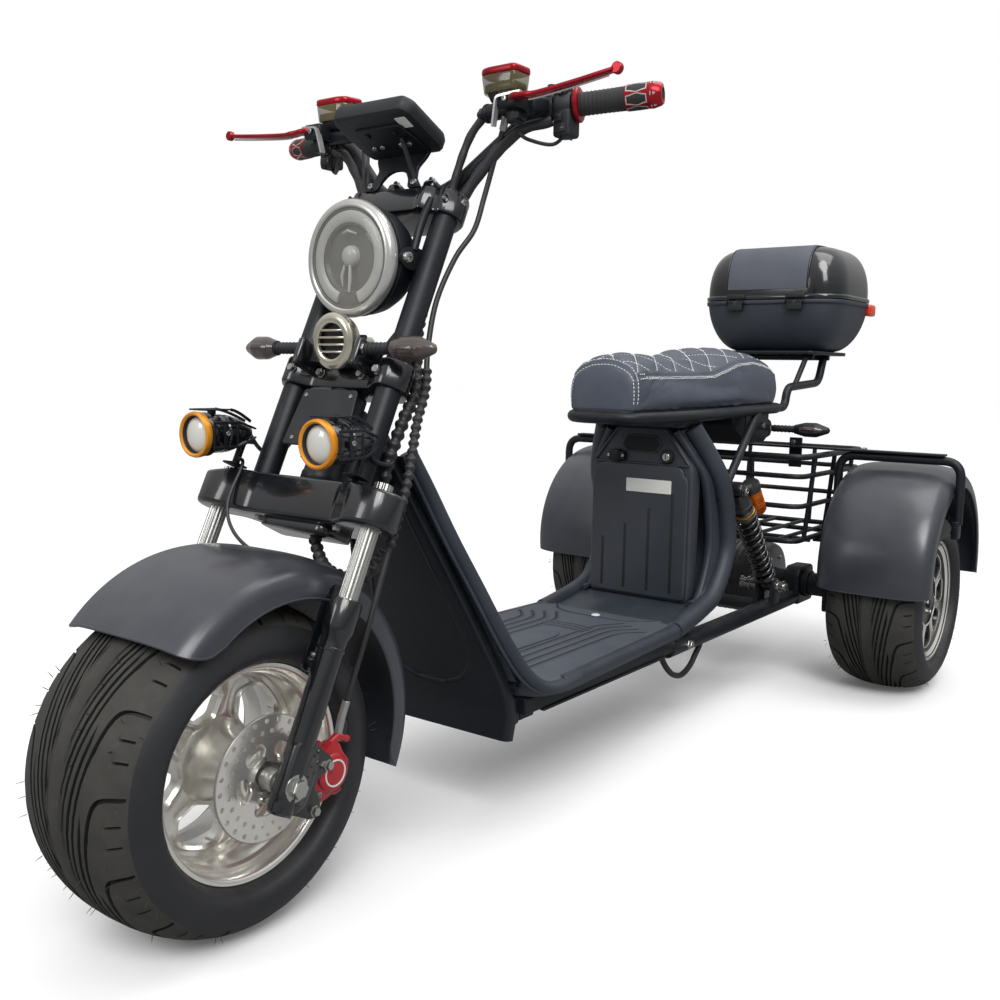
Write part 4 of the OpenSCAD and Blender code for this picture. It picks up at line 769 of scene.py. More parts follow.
def forkBox(low, high, radius, steps=4):
    return softBox(low, high, radius, steps, onFork)


# Fork legs: turned sliders with a collar, a foot casting with the caliper lug on the left
sliderProfile = [(0, -36), (13, -36), (16.5, -33), (17, -28), (17, 176), (17.4, 184), (20.6, 194),
    (21.4, 199), (21.4, 230), (20.2, 234.5), (15.5, 236.5), (13.6, 236), (13.4, 228)]
footOutline = cornered([(18, -16), (12, -31), (-16, -34), (-31, -20), (-32, 22), (-25, 48), (-14, 62),
    (17, 56)], 10)
lugOutline = cornered([(-6, -34), (-66, -36), (-76, -26), (-70, -8), (-52, 4), (-58, 22), (-72, 30),
    (-70, 44), (-50, 50), (-20, 60), (0, 50)], 7)
slider = lathe(sliderProfile, legFoot, legAxis, 48)
foot = plate(footOutline, 138, 166, 10, besideFork)
lug = plate(lugOutline, 137.4, 146, 2, besideFork)
dimples = [lathe([(3.2, 0), (2.6, 1.2), (1.4, 1.9), (0, 2.1)], onFork(u, 164.6, s), leftAxis, 10)
    for u, s in ((-22, 22), (-14, 29), (-23, 35), (-14, 42), (-20, 48), (-13, 16))]
lugBolts = [bolt(onFork(u, 146, s), leftAxis, 6, 7, False) for u, s in ((-64, -24), (-62, 34))]
ring = lathe([(17.3, 0), (18.4, 1), (18.4, 4), (17.3, 5)], onFork(*forkLook["leg"], 168), legAxis, 40)
addPiece("fork_slider_castings", "steering", [(bothSides(slider, foot, ring), "glossBlack"),
    (lug, "glossBlack"), (bothSides(*dimples), "glossBlack"), (join(*lugBolts), "chrome")],
    ["fork_sliders"])
stanchion = lathe([(12.4, 232), (12.4, 392)], legFoot, legAxis, 120, (0.55, 15))
addPiece("fork_chrome_tubes", "steering", [(bothSides(stanchion), "chrome")], ["fork_tubes"])
axleEnds = [bolt(onFork(0, 165, 0), leftAxis, 12, 11, False),
    lathe([(9, 0), (17, 0.2), (17, 2), (9, 2.2)], onFork(0, 164.6, 0), leftAxis, 32)]
axleRod = lathe([(8, -172), (8, 172)], frontMiddle, leftAxis, 24)
spacers = lathe([(8, 112), (13.4, 112.4), (14, 114), (14, 130), (13.4, 132.4), (8, 132.7)], frontMiddle,
    leftAxis, 28)
spacerRight = lathe([(8, 71), (13.4, 71), (14, 73), (14, 130), (13, 132.4), (8, 132.7)], frontMiddle,
    rightAxis, 28)
addPiece("front_wheel_axle", "steering",
    [(bothSides(*axleEnds), "chrome"), (join(axleRod, spacers, spacerRight), "steel")], ["front_axle"])

# Caliper: two halves over the disc, a bridge outside it, a round blank badge, pins and hose boot
caliperOutline = cornered([(56, 178), (66, 172), (86, 176), (92, 184), (106, 186), (114, 196), (115, 212),
    (106, 222), (100, 236), (86, 239), (78, 231), (64, 230), (54, 222), (50, 200)], 6)
bigger = (caliperOutline - [84, 206]) * 1.16 + [84, 206]
halves = [plate(bigger, 119, 136.4, 3.5, sideways), plate(caliperOutline, 97, 104.6, 2.5, sideways)]
caliperBridge = softBox(at(114, 99, 188), at(88, 134, 224), 4)
piston = lathe([(25, 0), (25, 3), (23, 5.4), (20, 6.4), (0, 6.4)], at(88, 136, 204), leftAxis, 40)
badgeRing = lathe([(18, 6), (18, 7.2), (15.8, 7.2), (15.8, 6)], at(88, 136, 204), leftAxis, 40)
pinTop = tube(places((84, 128, 236), (104, 129, 246), (122, 129, 238)), [5.5, 6, 5.4], 14)
pinLow = tube(places((84, 128, 178), (98, 130, 174), (106, 130, 176)), [5, 5.4, 4.6], 14)
boot = tube(places((113, 128, 236), (116, 128, 252), (118, 128, 262)), [5, 5.6, 4.4], 12)
addPiece("front_brake_caliper", "steering",
    [(join(*halves, caliperBridge, piston, pinTop, pinLow), "redPaint"), (badgeRing, "sticker"),
    (boot, "cable"),
    (join(*[bolt(at(b, 136.4, z), leftAxis, 4.4, 4.5) for b, z in ((62, 182), (62, 224))]), "chrome")],
    ["front_caliper"])

# Fork bridge: one casting with a flat front and wings round the legs
bridgeOutline = cornered([(10, -84), (10, 84), (30, 122), (34, 150), (28, 172), (6, 187), (-20, 182),
    (-32, 160), (-36, 126), (-70, 104), (-70, -104), (-36, -126), (-32, -160), (-20, -182), (6, -187),
    (28, -172), (34, -150), (30, -122)], 9)


# The bridge's top falls towards the legs
def bridgePlace(a, b, h):
    return onFork(a, b, h - 10 * ease(96, 160, np.abs(b)) * (h > 354))


bridge = plate(bridgeOutline, 330, 390, 6, bridgePlace, 4)
skirtPlate = plate(cornered([(-2, -62), (-2, 62), (-60, 70), (-60, -70)], 12), 318, 331, 2, onFork)
bridgeBolts = [bolt(onFork(u, y, s), axis, r, h, False)
    for u, y, s, axis, r, h in ((-34, 150, 354, aftAxis, 6, 7), (-14, 78, 330, downAxis, 6, 5))]
addPiece("fork_bridge_casting", "steering",
    [(join(bridge, skirtPlate), "glossBlack"), (bothSides(*bridgeBolts), "chrome")], ["fork_bridge"])
stemProfile = [(15, 388), (15, 392), (22, 392.5), (22, 396), (15, 397), (15, 524), (24, 525), (24, 530),
    (15, 532)]
addPiece("steering_stem_tube", "steering", [(lathe(stemProfile, stemFoot, legAxis, 40), "satinBlack")],
    ["steering_stem"])
upper = lathe([(0, 388), (18, 388), (18, 836), (17, 841), (13, 842.5), (12, 840), (0, 840)], tubeFoot,
    legAxis, 48)
addPiece("upper_fork_tubes", "steering", [(bothSides(upper), "satinBlack")], ["upper_tubes"])


# Yoke: an outline round both upper tubes, a ring's radius from each tube's middle
def yoke(front, back, ringR, low, high):
    u, y = forkLook["tube"]
    half = [(front, 56), (front + 6, 66), (u + ringR, 84), (u + ringR, 100), (-6, y + ringR),
        (-22, y + ringR), (-38, 106), (back, 84)]
    outline = cornered(half + [(a, -b) for a, b in half[::-1]], 8)
    return plate(outline, low, high, 4, onFork)


yokeBolts = [bolt(onFork(12, 84, 550), aheadAxis, 6, 8, False),
    bolt(onFork(-4, 40, 550), aheadAxis, 6, 8, False)]
ears = forkBox((-12, 51, 546), (40, 62.2, 588), 4)
addPiece("upper_yoke_casting", "steering", [(yoke(-5, -58, 26, 530, 571), "glossBlack"),
    (bothSides(ears), "glossBlack"), (bothSides(*yokeBolts), "chrome")], ["upper_yoke"])
slots = forkBox((8, 90, 799), (14, 94, 840), 0.8)
clampBolts = [bolt(onFork(13, 106, 819), rightAxis, 5, 5),
    bolt(onFork(*forkLook["tube"], 841), legAxis, 10, 5), bolt(onFork(-12, 116, 826), leftAxis, 5, 4)]
nut = bolt(onFork(*forkLook["stem"], 838), legAxis, 15, 12, False)
addPiece("top_clamp_casting", "steering", [(yoke(20, -50, 25, 800, 838.5), "glossBlack"),
    (bothSides(slots), "mattBlack"), (join(bothSides(*clampBolts), nut), "chrome")], ["top_clamp"])
print("fork made")

# Headlight: bucket and bezel turned about the X axis, an inner face with a pale light ring, a projector and
# a clear cover
lampLook = {"lamp": (251, 0, 875), "horn": (220, 0, 758), "spot": (77, 120, 626), "ringR": 58,
    "hornR": 25.5}
lampAt, hornAt, spotAt = places(*(lampLook[k] for k in ("lamp", "horn", "spot")))
bucket = lathe([(70, 12), (76, 13), (78, 16), (78, 30), (77, 44), (74, 56), (66, 72), (54, 85), (40, 93),
    (22, 95), (0, 95)], lampAt, backX, 72)
fins = [lathe([(78.4, h), (80, h + 1), (80, h + 3), (78.4, h + 4)], lampAt, backX, 72) for h in (18, 25)]
addPiece("headlight_bucket_shell", "steering", [(join(bucket, *fins), "satinBlack")], ["headlight_bucket"])
bezel = lathe([(70.5, 6), (71, 1), (73, -0.6), (77, -0.4), (81, 2.5), (82.6, 6), (82.8, 10), (81.5, 14),
    (80, 15), (79.4, 19), (77, 20)], lampAt, backX, 96)
addPiece("headlight_bezel", "steering", [(bezel, "alloy")], ["headlight_rim"])
ringGap = np.linspace(0.34, full - 0.34, 90) - np.pi / 2
lightRing = [lampAt + [-3, lampLook["ringR"] * math.cos(a), lampLook["ringR"] * math.sin(a)]
    for a in ringGap]
lampFace = lathe([(0, 9), (44, 9), (47, 4), (49, 4), (67, 4.5), (68.5, 1.5), (71.2, 1)], lampAt, backX, 72)
eye = lathe([(0, -2), (8, -1.4), (13, 1), (15, 5), (15.6, 9)], at(251, 1, 878), backX, 36)
brow = tube(places((255, 15, 908), (252, 0, 913), (255, -13, 910)), [1.2, 2.2, 1.2], 10)
trunk = tube(places((254, 3, 866), (252, 5, 846), (254, 1, 828)), [2.2, 2.8, 2.2], 10)
trunkB = tube(places((255, -8, 866), (253, -12, 850), (256, -13, 836)), [2, 2.6, 1], 10)
cover = lathe([(0, -4.6), (30, -4), (55, -2), (68, 0.6), (71, 2.4)], lampAt, backX, 72)
addPiece("headlight_glass", "steering", [(lampFace, "lampDark"),
    (sweep(lightRing, oval(8.5, 2.2, 12), aheadX), "frosted"), (join(eye, brow, trunk, trunkB), "frosted"),
    (cover, "clearLens")], ["headlight_lens"])
armOutline = cornered([(318, 862), (318, 888), (300, 892), (276, 887), (268, 875), (276, 863), (298, 858)],
    6)
arm = plate(armOutline, 79.5, 85, 1.5, sideways)
brace = tube(smoothPath(places((300, 82, 886), (318, 80, 926), (341, 78, 962)), 6), 6, 12)
armBolt = bolt(at(280, 85, 875), leftAxis, 7.5, 8)
addPiece("headlight_arms_pair", "steering",
    [(bothSides(arm, brace), "satinBlack"), (bothSides(armBolt), "chrome")], ["headlight_arms"])

# Horn: a shell with a slotted grille; bars lie across a dark mouth
hornShell = lathe([(25, 3), (25.5, -0.5), (28, -1.8), (36, -0.8), (39.6, 2), (40, 6), (39, 13), (36, 21),
    (30, 26), (16, 28), (8, 28), (8, 80)], hornAt, backX, 64)
hornMouth = lathe([(0, 8), (25.4, 8), (25.4, 2)], hornAt, backX, 48)


# Bar across the mouth at a height, as wide as the mouth is there
def hornBar(h):
    w = math.sqrt(lampLook["hornR"] ** 2 - h * h)
    return softBox(hornAt + [-4, -w, h - 1.7], hornAt + [0.4, w, h + 1.7], 1.2, 3)


hornBars = [hornBar(h) for h in (-15, -5, 5, 15)]
hornPost = forkBox((-16, -14, 568), (-10, 14, 617), 2)
hornScrews = [bolt(hornAt + [-1, 34 * math.cos(a), 34 * math.sin(a)], aheadX, 2.4, 1.6)
    for a in (0.6, 2.5, 4.7)]
addPiece("horn_shell", "steering", [(join(hornShell, *hornBars), "horn"), (hornMouth, "mattBlack"),
    (hornPost, "satinBlack"), (join(*hornScrews), "steel")], ["horn"])


# Signal: a ribbed rubber stalk, then a body whose oval section swells and shrinks along it, a lens on its
# front
def signalBody(behind, z, inner, mid, outer):
    ribs = [(7.4 + (1.4 if k % 2 else 0), inner + (mid - inner) * k / 12) for k in range(13)]
    stalk = lathe([(5, inner)] + ribs + [(11, mid + 1)], at(behind, 0, z), leftAxis, 28)
    t = np.linspace(0, 1, 26)[:, None]
    a = np.arange(32) * full / 32
    swell = np.interp(t, [0, 0.3, 0.62, 0.9, 1], [0.6, 0.98, 1, 0.5, 0.3])
    swell[-1] = 0.02
    y = mid + (outer - mid) * t
    x = 15 * swell * np.cos(a) - 6 * t ** 2
    up = 17 * swell * np.sign(np.sin(a)) * np.abs(np.sin(a)) ** 1.15
    body = np.stack(np.broadcast_arrays(frontAxle - behind + x, y, z + up), -1)
    lens = np.stack(np.broadcast_arrays(frontAxle - behind + x * 1.05 + 0.6,
        y * 0.94 + (mid + outer) * 0.03, z + up * 0.8), -1)
    cap = np.concatenate([body[:1].mean(1, keepdims=True).repeat(32, 1), body])
    return stalk, grid(cap, wrapCols=True), join(grid(lens[4:, :9]), grid(lens[4:, 24:]))


def addSignals(name, node, behind, z, inner, mid, outer, body, skin):
    stalk, shell, lens = signalBody(behind, z, inner, mid, outer)
    diodes = [lathe([(2, 0), (1.6, 0.8), (0, 1.2)], at(behind - 13.2, y, z), aheadX, 10)
        for y in np.linspace(mid + 18, outer - 22, 6)]
    addPiece(name, body, [(bothSides(stalk), "mattBlack"), (bothSides(shell), skin),
        (bothSides(lens), "smokeLens"), (bothSides(*diodes), "lampDark"),
        (bothSides(bolt(at(behind, inner - 4, z), leftAxis, 7, 6, False)), "chrome")], [node])


addSignals("front_signal_pair", "front_signals", 222, 748, 66, 112, 186, "steering", "smokeLens")

# Spotlights: amber ring, thick lens, turned body, and a folded cage of pierced plates with a cross-shaped
# foot
spotRing = lathe([(26, 2), (26.4, -1), (28.4, -2.4), (31, -1.4), (32, 2), (31.4, 7), (28, 9)], spotAt,
    backX, 64)
spotInner = lathe([(26.2, 0.6), (25.4, 2), (25, 6), (24, 9)], spotAt, backX, 48)
spotLens = lathe([(0, -1.6), (10, -0.8), (18, 1.6), (23, 4.6), (25, 7)], spotAt, backX, 48)
spotBody = lathe([(29, 8), (30.4, 12), (30.4, 19), (27, 21), (27, 40), (25.6, 42), (27, 44), (25.6, 48),
    (26.4, 52), (24, 62), (18, 80), (11, 93), (0, 95)], spotAt, backX, 56)


# Cage arm: a flat strip folded over the lamp, running back to the tail; both edges are bars with cross
# pieces between
def cageSide(turn):
    def place(x, y, z):
        c, s = math.cos(turn), math.sin(turn)
        return np.stack([spotAt[0] - x, spotAt[1] + y * c - z * s, spotAt[2] + y * s + z * c], -1)
    guide = leftAxis if abs(math.sin(turn)) < 0.5 else upZ
    bars = [softBox((6, -15, 33), (10, 15, 35.4), 0.8, 3, place),
        softBox((24, -17, 33), (30, 17, 35.4), 0.8, 3, place),
        softBox((46, -14, 32.6), (50, 14, 35), 0.8, 3, place)]
    for side in (-1, 1):
        bars.append(softBox((6, side * 17 - 2, 33), (52, side * 17 + 2, 35.4), 0.8, 3, place))
        t = np.linspace(0, 1, 7)
        strip = place(50 + 44 * t, side * (17 - 11 * t), 34 - 18 * t ** 1.4)
        bars.append(sweep(strip, flatSection(2, -1, 1), guide))
    bars.append(softBox((26, -5, 27), (34, 5, 34), 1, 3, place))
    return join(*bars)


cages = [cageSide(k * np.pi / 2) for k in (0, 1, 3)]
footBars = [forkBox((12, 110, 428), (36, 130, 431), 1), forkBox((12, 106, 390), (36, 134, 393), 1),
    forkBox((20, 115, 392), (28, 125, 430), 2)]
spotScrew = [bolt(spotAt + [-30, s * 34, 2], (0, s, 0), 3.6, 3) for s in (-1, 1)]
addPiece("spotlight_pair", "steering", [(bothSides(spotRing), "amberRing"),
    (bothSides(spotInner), "mattBlack"), (bothSides(spotLens), "spotLens"),
    (bothSides(spotBody), "glossBlack"), (bothSides(*cages, *footBars), "satinBlack"),
    (bothSides(*spotScrew), "chrome")], ["spotlights"])
print("lamps made")


controlLook = {"bend": (440, 190, 1090), "end": (488, 357, 1100), "gripY": 246, "boxY": 230,
    "tank": (396, 168)}


# Point on the straight part of the bar, from the bend to the end, at a distance to the left
def onBar(y):
    bend, end = places(controlLook["bend"], controlLook["end"])
    return bend + (end - bend) * (y - bend[1]) / (end[1] - bend[1])


# Handlebar: a bent tube, held in two split clamps on the top yoke
barPoints = [controlLook["end"], controlLook["bend"], (395, 60, 975)]
barPath = rounded(places(*barPoints) + [at(b, -y, z) for b, y, z in barPoints[::-1]], 45, 8)
addPiece("handlebar_tube", "steering", [(tube(barPath, 11.4, 20), "satinBlack")], ["handlebar"])
riser = [forkBox((-50, 23, 837), (-10, 47, 855), 5), forkBox((-50, 23, 856), (-10, 47, 875), 7)]
riserBolts = [bolt(onFork(u, 35, 874.5), legAxis, 5, 4) for u in (-43, -17)]
addPiece("bar_clamp_blocks", "steering",
    [(bothSides(*riser), "glossBlack"), (bothSides(*riserBolts), "chrome")], ["bar_clamps"])

gripAt = onBar(controlLook["gripY"])
gripAxis = unit(onBar(365) - gripAt)
gripUp = unit(np.cross(gripAxis, aheadX))
gripSide = np.cross(gripUp, gripAxis)


# Patch on the grip: angle is the middle plus or minus half the width at t divided by the radius, t along
# the grip
def gripPatch(turn, start, end, radius, widths):
    t = np.linspace(0, 1, 13)
    half = np.interp(t, np.linspace(0, 1, len(widths)), widths) / radius
    a = turn + np.linspace(-1, 1, 7)[None] * half[:, None]
    along = start + (end - start) * t[:, None, None]
    r = np.broadcast_to(radius, t.shape)[:, None, None] if np.ndim(radius) else radius
    return grid(gripAt + gripAxis * along + r
        * (gripUp * np.cos(a)[..., None] + gripSide * np.sin(a)[..., None]))


gripBody = lathe([(11.4, 0), (15.6, 0.5), (16.2, 3), (15.6, 20), (15.8, 45), (16.4, 72)], gripAt, gripAxis,
    48)
ribs = [lathe([(15.7, h - 1.3), (16.5, h), (15.7, h + 1.3)], gripAt, gripAxis, 40)
    for h in range(10, 70, 6)]
flange = lathe([(15, 0), (23, -1), (24.4, 0.6), (24.4, 4), (23, 5.6), (15, 6.6)], gripAt, gripAxis, 48)
sleeve = lathe([(16.3, 71), (17.2, 71.6), (17.4, 74), (17.6, 104), (18, 106.5), (18, 109), (15.4, 119.5),
    (13.4, 122), (8, 122.6)], gripAt, gripAxis, 60)
barEnd = lathe([(0, 121.6), (7.8, 121.6), (8.2, 123)], gripAt, gripAxis, 28)
turns = np.arange(6) * full / 6 + 0.1
windows = [gripPatch(t, 74.6, 101, 17.75, [4.6, 5.2, 7.2, 7.4, 5.2, 4.4]) for t in turns]
frames = [gripPatch(t, 73.2, 102.4, 17.66, [6.2, 6.8, 8.4, 8.6, 6.8, 6]) for t in turns]
nicks = [gripPatch(t + 0.3, 107, 114.5, np.linspace(18.2, 16.9, 13), [2.8, 2.2, 0.6]) for t in turns]
addPiece("handlebar_grips", "steering", [(bothSides(gripBody, *ribs), "gripRubber"),
    (bothSides(flange, sleeve), "redAnodised"), (bothSides(*windows, barEnd), "gripRubber"),
    (bothSides(*frames, *nicks), "alloy")], ["grips"])

# Master cylinder: a clamp on the bar, a barrel along it, a see-through reservoir under a red cap, a bent
# silver arm
barrelLine = np.array(places((402, 128, 1085), (398, 204, 1088)))
master = [lathe([(11, -6), (16.6, -5.5), (17, -4), (17, 9), (16.6, 10.5), (11, 11)], onBar(205), gripAxis,
    36), tube(barrelLine, 12, 24), softBox(at(434, 203, 1080), at(394, 217, 1101), 5),
    softBox(at(408, 172, 1078), at(362, 209, 1102), 6),
    lathe([(12.4, 0), (13.4, 1), (13.4, 5), (12.4, 6)], barrelLine[0], leftAxis, 24)]
post = lathe([(9.6, 0), (9.6, 20), (8.4, 22.5), (6.4, 23), (6.4, 31), (5.6, 32), (4.2, 32), (4.2, 9),
    (0, 9)], onBar(210), upZ, 32)
banjo = lathe([(0, -8), (5, -8), (5.6, -7), (5.6, -3), (9, -2.6), (9, 3), (7, 3.4)],
    barrelLine[0] - [0, 6, 0], leftAxis, 24)


# Point over the fluid cup: a ahead and b to the left of its middle, both times their spread
def onTank(a, b, h, spreadA=1, spreadB=1):
    behind, y = controlLook["tank"]
    return at(behind - a * spreadA, y + b * spreadB, h)


def tankWall(a, b, h):
    return onTank(a, b, h, 1 + (h - 1118) / 180, 1 + (h - 1118) / 240)


def tankTaper(a, b, h):
    return onTank(a, b, h, 1 + (h - 1108) / 60, 1 + (h - 1108) / 60)


tank = plate(cornered([(-20, -34), (-12, -40), (14, -34), (19, -20), (19, 26), (-20, 26)], 9), 1106, 1131,
    2, tankWall, 3)
tankFoot = plate(cornered([(-16, -28), (15, -28), (15, 22), (-16, 22)], 9), 1094, 1108, 3, tankTaper, 3)
tankCap = plate(cornered([(-22, -36), (-13, -42), (15, -36), (21, -21), (21, 28), (-22, 28)], 10), 1130,
    1141, 3.5, onTank, 4)
fluid = plate(cornered([(-18, -30), (-11, -36), (13, -31), (17, -19), (17, 24), (-18, 24)], 8), 1108, 1119,
    1.5, onTank)
armPath = rounded(places((368, 212, 1098), (362, 176, 1094), (366, 168, 1056)), 5, 4)
armBlade = sweep(armPath, flatSection(1.6, -4.5, 4.5), aheadX)
smallParts = [lathe([(0, -12), (4, -12), (4.6, -11), (4.6, 10), (0, 10)], at(384, 200, 1070), aheadX, 20),
    softBox(at(396, 182, 1060), at(374, 200, 1082), 4)]
capScrews = [bolt(onTank(a, b, 1140.6), upZ, 2.6, 1) for a, b in ((-14, -24), (12, 18))]
addPiece("brake_master_cylinders", "steering",
    [(bothSides(*master, post, tankFoot, *smallParts), "satinBlack"), (bothSides(banjo), "blackAlloy"),
    (bothSides(tank), "tankShell"), (bothSides(fluid), "reservoir"), (bothSides(tankCap), "redAnodised"),
    (bothSides(armBlade), "alloy"),
    (bothSides(*capScrews, bolt(at(361, 190, 1090), aheadX, 4, 3)), "chrome")], ["lever_brackets"])

# Lever: a flat blade along a smooth path, deeper at its root, with a round end. Its section is an oval
# whose cosine and sine are each replaced by their square root
leverPath = smoothPath(places((371, 196, 1092), (364, 214, 1091), (361, 236, 1089), (359, 262, 1090),
    (356, 310, 1094), (353, 350, 1098), (352, 368, 1100)), 8)
way = np.linspace(0, 1, len(leverPath))
deep = np.interp(way, [0, 0.06, 0.14, 0.2, 0.3, 0.36, 0.6, 1],
    [0.9, 1.35, 1.4, 1.15, 1.3, 1.08, 1.02, 0.86])
bladeSection = np.array(oval(1, 1, 20))
bladeSection = np.sign(bladeSection) * np.abs(bladeSection) ** 0.5 * [3.2, 7.6]
blade = sweep(leverPath, bladeSection, aheadX, scale=deep)
knob = lathe([(0, -4.6), (6.2, -4.6), (7.6, -3.2), (7.6, 3.2), (6.2, 4.6), (0, 4.6)], at(352, 372, 1101),
    aheadX, 32)
edge = tube(leverPath[14:-4] + np.array([0.6, 0, -5.6]), 1.3, 8)
pivot = lathe([(0, -9), (6, -9), (6, 9), (0, 9)], at(372, 202, 1091), upZ, 24)
addPiece("brake_lever_blades", "steering",
    [(bothSides(blade, knob), "redAnodised"), (bothSides(edge), "alloy"), (bothSides(pivot), "steel")],
    ["brake_levers"])

# Switch box: two half shells round the bar, a lower housing, buttons on the front
boxAt = onBar(controlLook["boxY"])
housing = [lathe([(11.4, -11), (17.4, -11), (18.4, -9.6), (18.4, 9.6), (17.4, 11), (11.4, 11)], boxAt,
    gripAxis, 40), softBox(boxAt + [-14, -11, -44], boxAt + [17, 17, -6], 5),
    softBox(boxAt + [-10, -9, 12], boxAt + [14, 9, 26], 4)]
buttons = [softBox(boxAt + [16.4, -7, -38], boxAt + [19.4, 13, -27], 1.4, 3),
    softBox(boxAt + [16.4, -7, -23], boxAt + [19.8, 6, -13], 1.4, 3),
    lathe([(5, 0), (5, 2.4), (4, 3.4), (0, 3.6)], boxAt + [14, 0, 18], aheadX, 20)]
joint = softBox(boxAt + [-14.5, 2.4, -44.5], boxAt + [17.5, 3.4, -6], 0.3, 2)
addPiece("switch_box_pair", "steering", [(bothSides(*housing), "mattBlack"),
    (bothSides(*buttons), "blackAlloy"), (bothSides(joint), "satinBlack"),
    (bothSides(bolt(boxAt + [0, 0, -44], (0, 0, -1), 3, 1.5)), "steel")], ["switch_boxes"])

# Display: a slab with chamfered edges, a dark glass above, a folded stay under it with an arch between its
# feet
slab = plate(cornered([(10, -66), (24, -74), (100, -74), (114, -64), (114, 64), (100, 74), (24, 74),
    (10, 66)], 6), 899, 924, 7, onFork, 3)
glass = plate(cornered([(24, -60), (102, -60), (102, 60), (24, 60)], 6), 923.6, 924.6, 0.4, onFork, 2)
labelPlate = plate(cornered([(74, 42), (96, 42), (96, 62), (74, 62)], 2), 898.4, 899.4, 0.2, onFork, 2)
addPiece("display_case", "steering", [(slab, "mattBlack"), (glass, "lampDark"), (labelPlate, "sticker")],
    ["display"])
half = [(52, 900), (48, 888), (38, 872), (42, 854), (56, 838), (30, 838), (27, 852), (18, 865), (7, 870)]


def acrossFork(a, b, h):
    return onFork(h, a, b)


stay = plate(cornered(half + [(-y, s) for y, s in half[::-1]], 5), 15.6, 21.4, 1, acrossFork, 2)
shelf = plate(cornered([(16, -52), (52, -52), (86, -44), (86, 44), (52, 52), (16, 52)], 6), 894.5, 899.4,
    1.5, onFork, 2)
screwAt = [(46, 34), (46, 18), (46, -34), (46, -18)]
stayScrews = [bolt(onFork(u, y, 894.5), downAxis, 4.2, 2.6) for u, y in screwAt]
darkScrews = [bolt(onFork(72, y, 894.5), downAxis, 4.2, 3, False) for y in (26, -26)]
addPiece("display_stay_plate", "steering", [(join(stay, shelf, *darkScrews), "satinBlack"),
    (join(*stayScrews, *[bolt(onFork(21.4, y, 845), aheadAxis, 5, 4) for y in (42, -42)]), "chrome")],
    ["display_stay"])
print("controls made")

bodyLook = {"shieldRings": [(286, 56, 600), (330, 84, 500), (375, 112, 400), (416, 140, 300),
    (440, 158, 236), (450, 164, 190), (448, 160, 146)], "deck": ((484.5, 186), (1003, 158)),
    "batteryFace": 1122, "batteryDepth": 40, "bandAt": (46, 68, 90, 112),
    "grooveTops": ((-84, 372), (-30, 404), (26, 442), (80, 476))}


# Leg shield: a closed section carried down the front, its half given by a function of the half width
def shieldLoft(section, low, radius=5):
    rings = smoothPath(np.array(bodyLook["shieldRings"], float), 6)
    rings = rings[rings[:, 2] > low]
    rows = []
    for behind, w, z in rings:
        half = section(w)
        ring = cornered(half + [(-y, d) for y, d in half[-2:0:-1]], radius, 4)
        rows.append(at(behind + ring[:, 1], ring[:, 0], z - ring[:, 1] * 0.2))
    return loft(rows)


frontSheet = shieldLoft(lambda w: [(0, 2), (w - 22, 2), (w - 14, 4), (w - 12, 10), (w - 12, 24),
    (w - 18, 28), (0, 28)], 140)
rearSheet = shieldLoft(lambda w: [(0, 27), (w - 16, 27), (w - 4, 32), (w - 2, 38), (w - 8, 43),
    (w - 16, 40), (0, 38)], 236, 3)
shieldLip = smoothPath(places((318, 58, 600), (340, 74, 548), (372, 96, 470), (408, 122, 388),
    (444, 147, 306), (470, 164, 258), (496, 177, 232), (534, 185, 222), (600, 181, 221)), 8)
lipEdge = sweep(shieldLip, oval(11, 15, 18), (0, 1, 0.2))
lipBead = tube(shieldLip + np.array([13, 2, -4]), 3.2, 10)
ribLine = smoothPath(places((300, 30, 584), (332, 48, 504), (374, 68, 412), (408, 88, 330), (430, 92, 276),
    (442, 70, 240), (447, 36, 224), (448, 0, 220)), 6)
shieldRib = sweep(ribLine, oval(3.4, 5, 12), (0, 1, 0.2))
clipTabs = [softBox(at(b, y - 6, z), at(b + 14, y + 1, z + 16), 2)
    for b, y, z in ((362, 92, 470), (446, 150, 288))]
headTube = lathe([(16, 392), (27, 392.4), (28, 394), (28, 404), (26.6, 406), (26.6, 514), (28, 516),
    (28, 526), (27, 528), (16, 528.4)], stemFoot, legAxis, 44)
gusset = plate(cornered([(-44, 398), (-44, 516), (-112, 504), (-150, 462), (-142, 420), (-110, 398)], 8),
    -24, 24, 4, besideFork)
blankPlate = plate(cornered([(52, -52), (52, 52), (-34, 62), (-34, -62)], 6), 0, 4, 1,
    lambda a, b, h: onFork(2 + h, b, 470 + a), 2)
addPiece("leg_shield", "frame", [(join(rearSheet, bothSides(lipEdge, lipBead)), "moulding"),
    (join(frontSheet, headTube, gusset, bothSides(shieldRib, *clipTabs)), "satinBlack")], ["neck"])
addPiece("head_plate", "steering", [(blankPlate, "mattBlack"),
    (join(*[bolt(onFork(6, y, s), aheadAxis, 3, 2) for y in (-44, 44) for s in (446, 512)]), "steel")], [])

# Deck frame: two box rails and three cross members
rails = softBox(at(492, 123, 178.5), at(1000, 157, 206.8), 4)
railLip = softBox(at(540, 150, 175), at(960, 160, 180), 2)
crosses = [softBox(at(b - 20, -140, 165), at(b + 20, 140, 206.7), 3) for b in (520, 740, 960)]
frontBox = softBox(at(478, -142, 160), at(500, 142, 206), 8)
clips = [softBox(at(b - 5, 155, 196), at(b + 5, 160, 207), 2) for b in (610, 800)]
addPiece("deck_rails", "frame",
    [(join(bothSides(rails, railLip, *clips), frontBox, *crosses), "satinBlack")], ["deck_frame"])


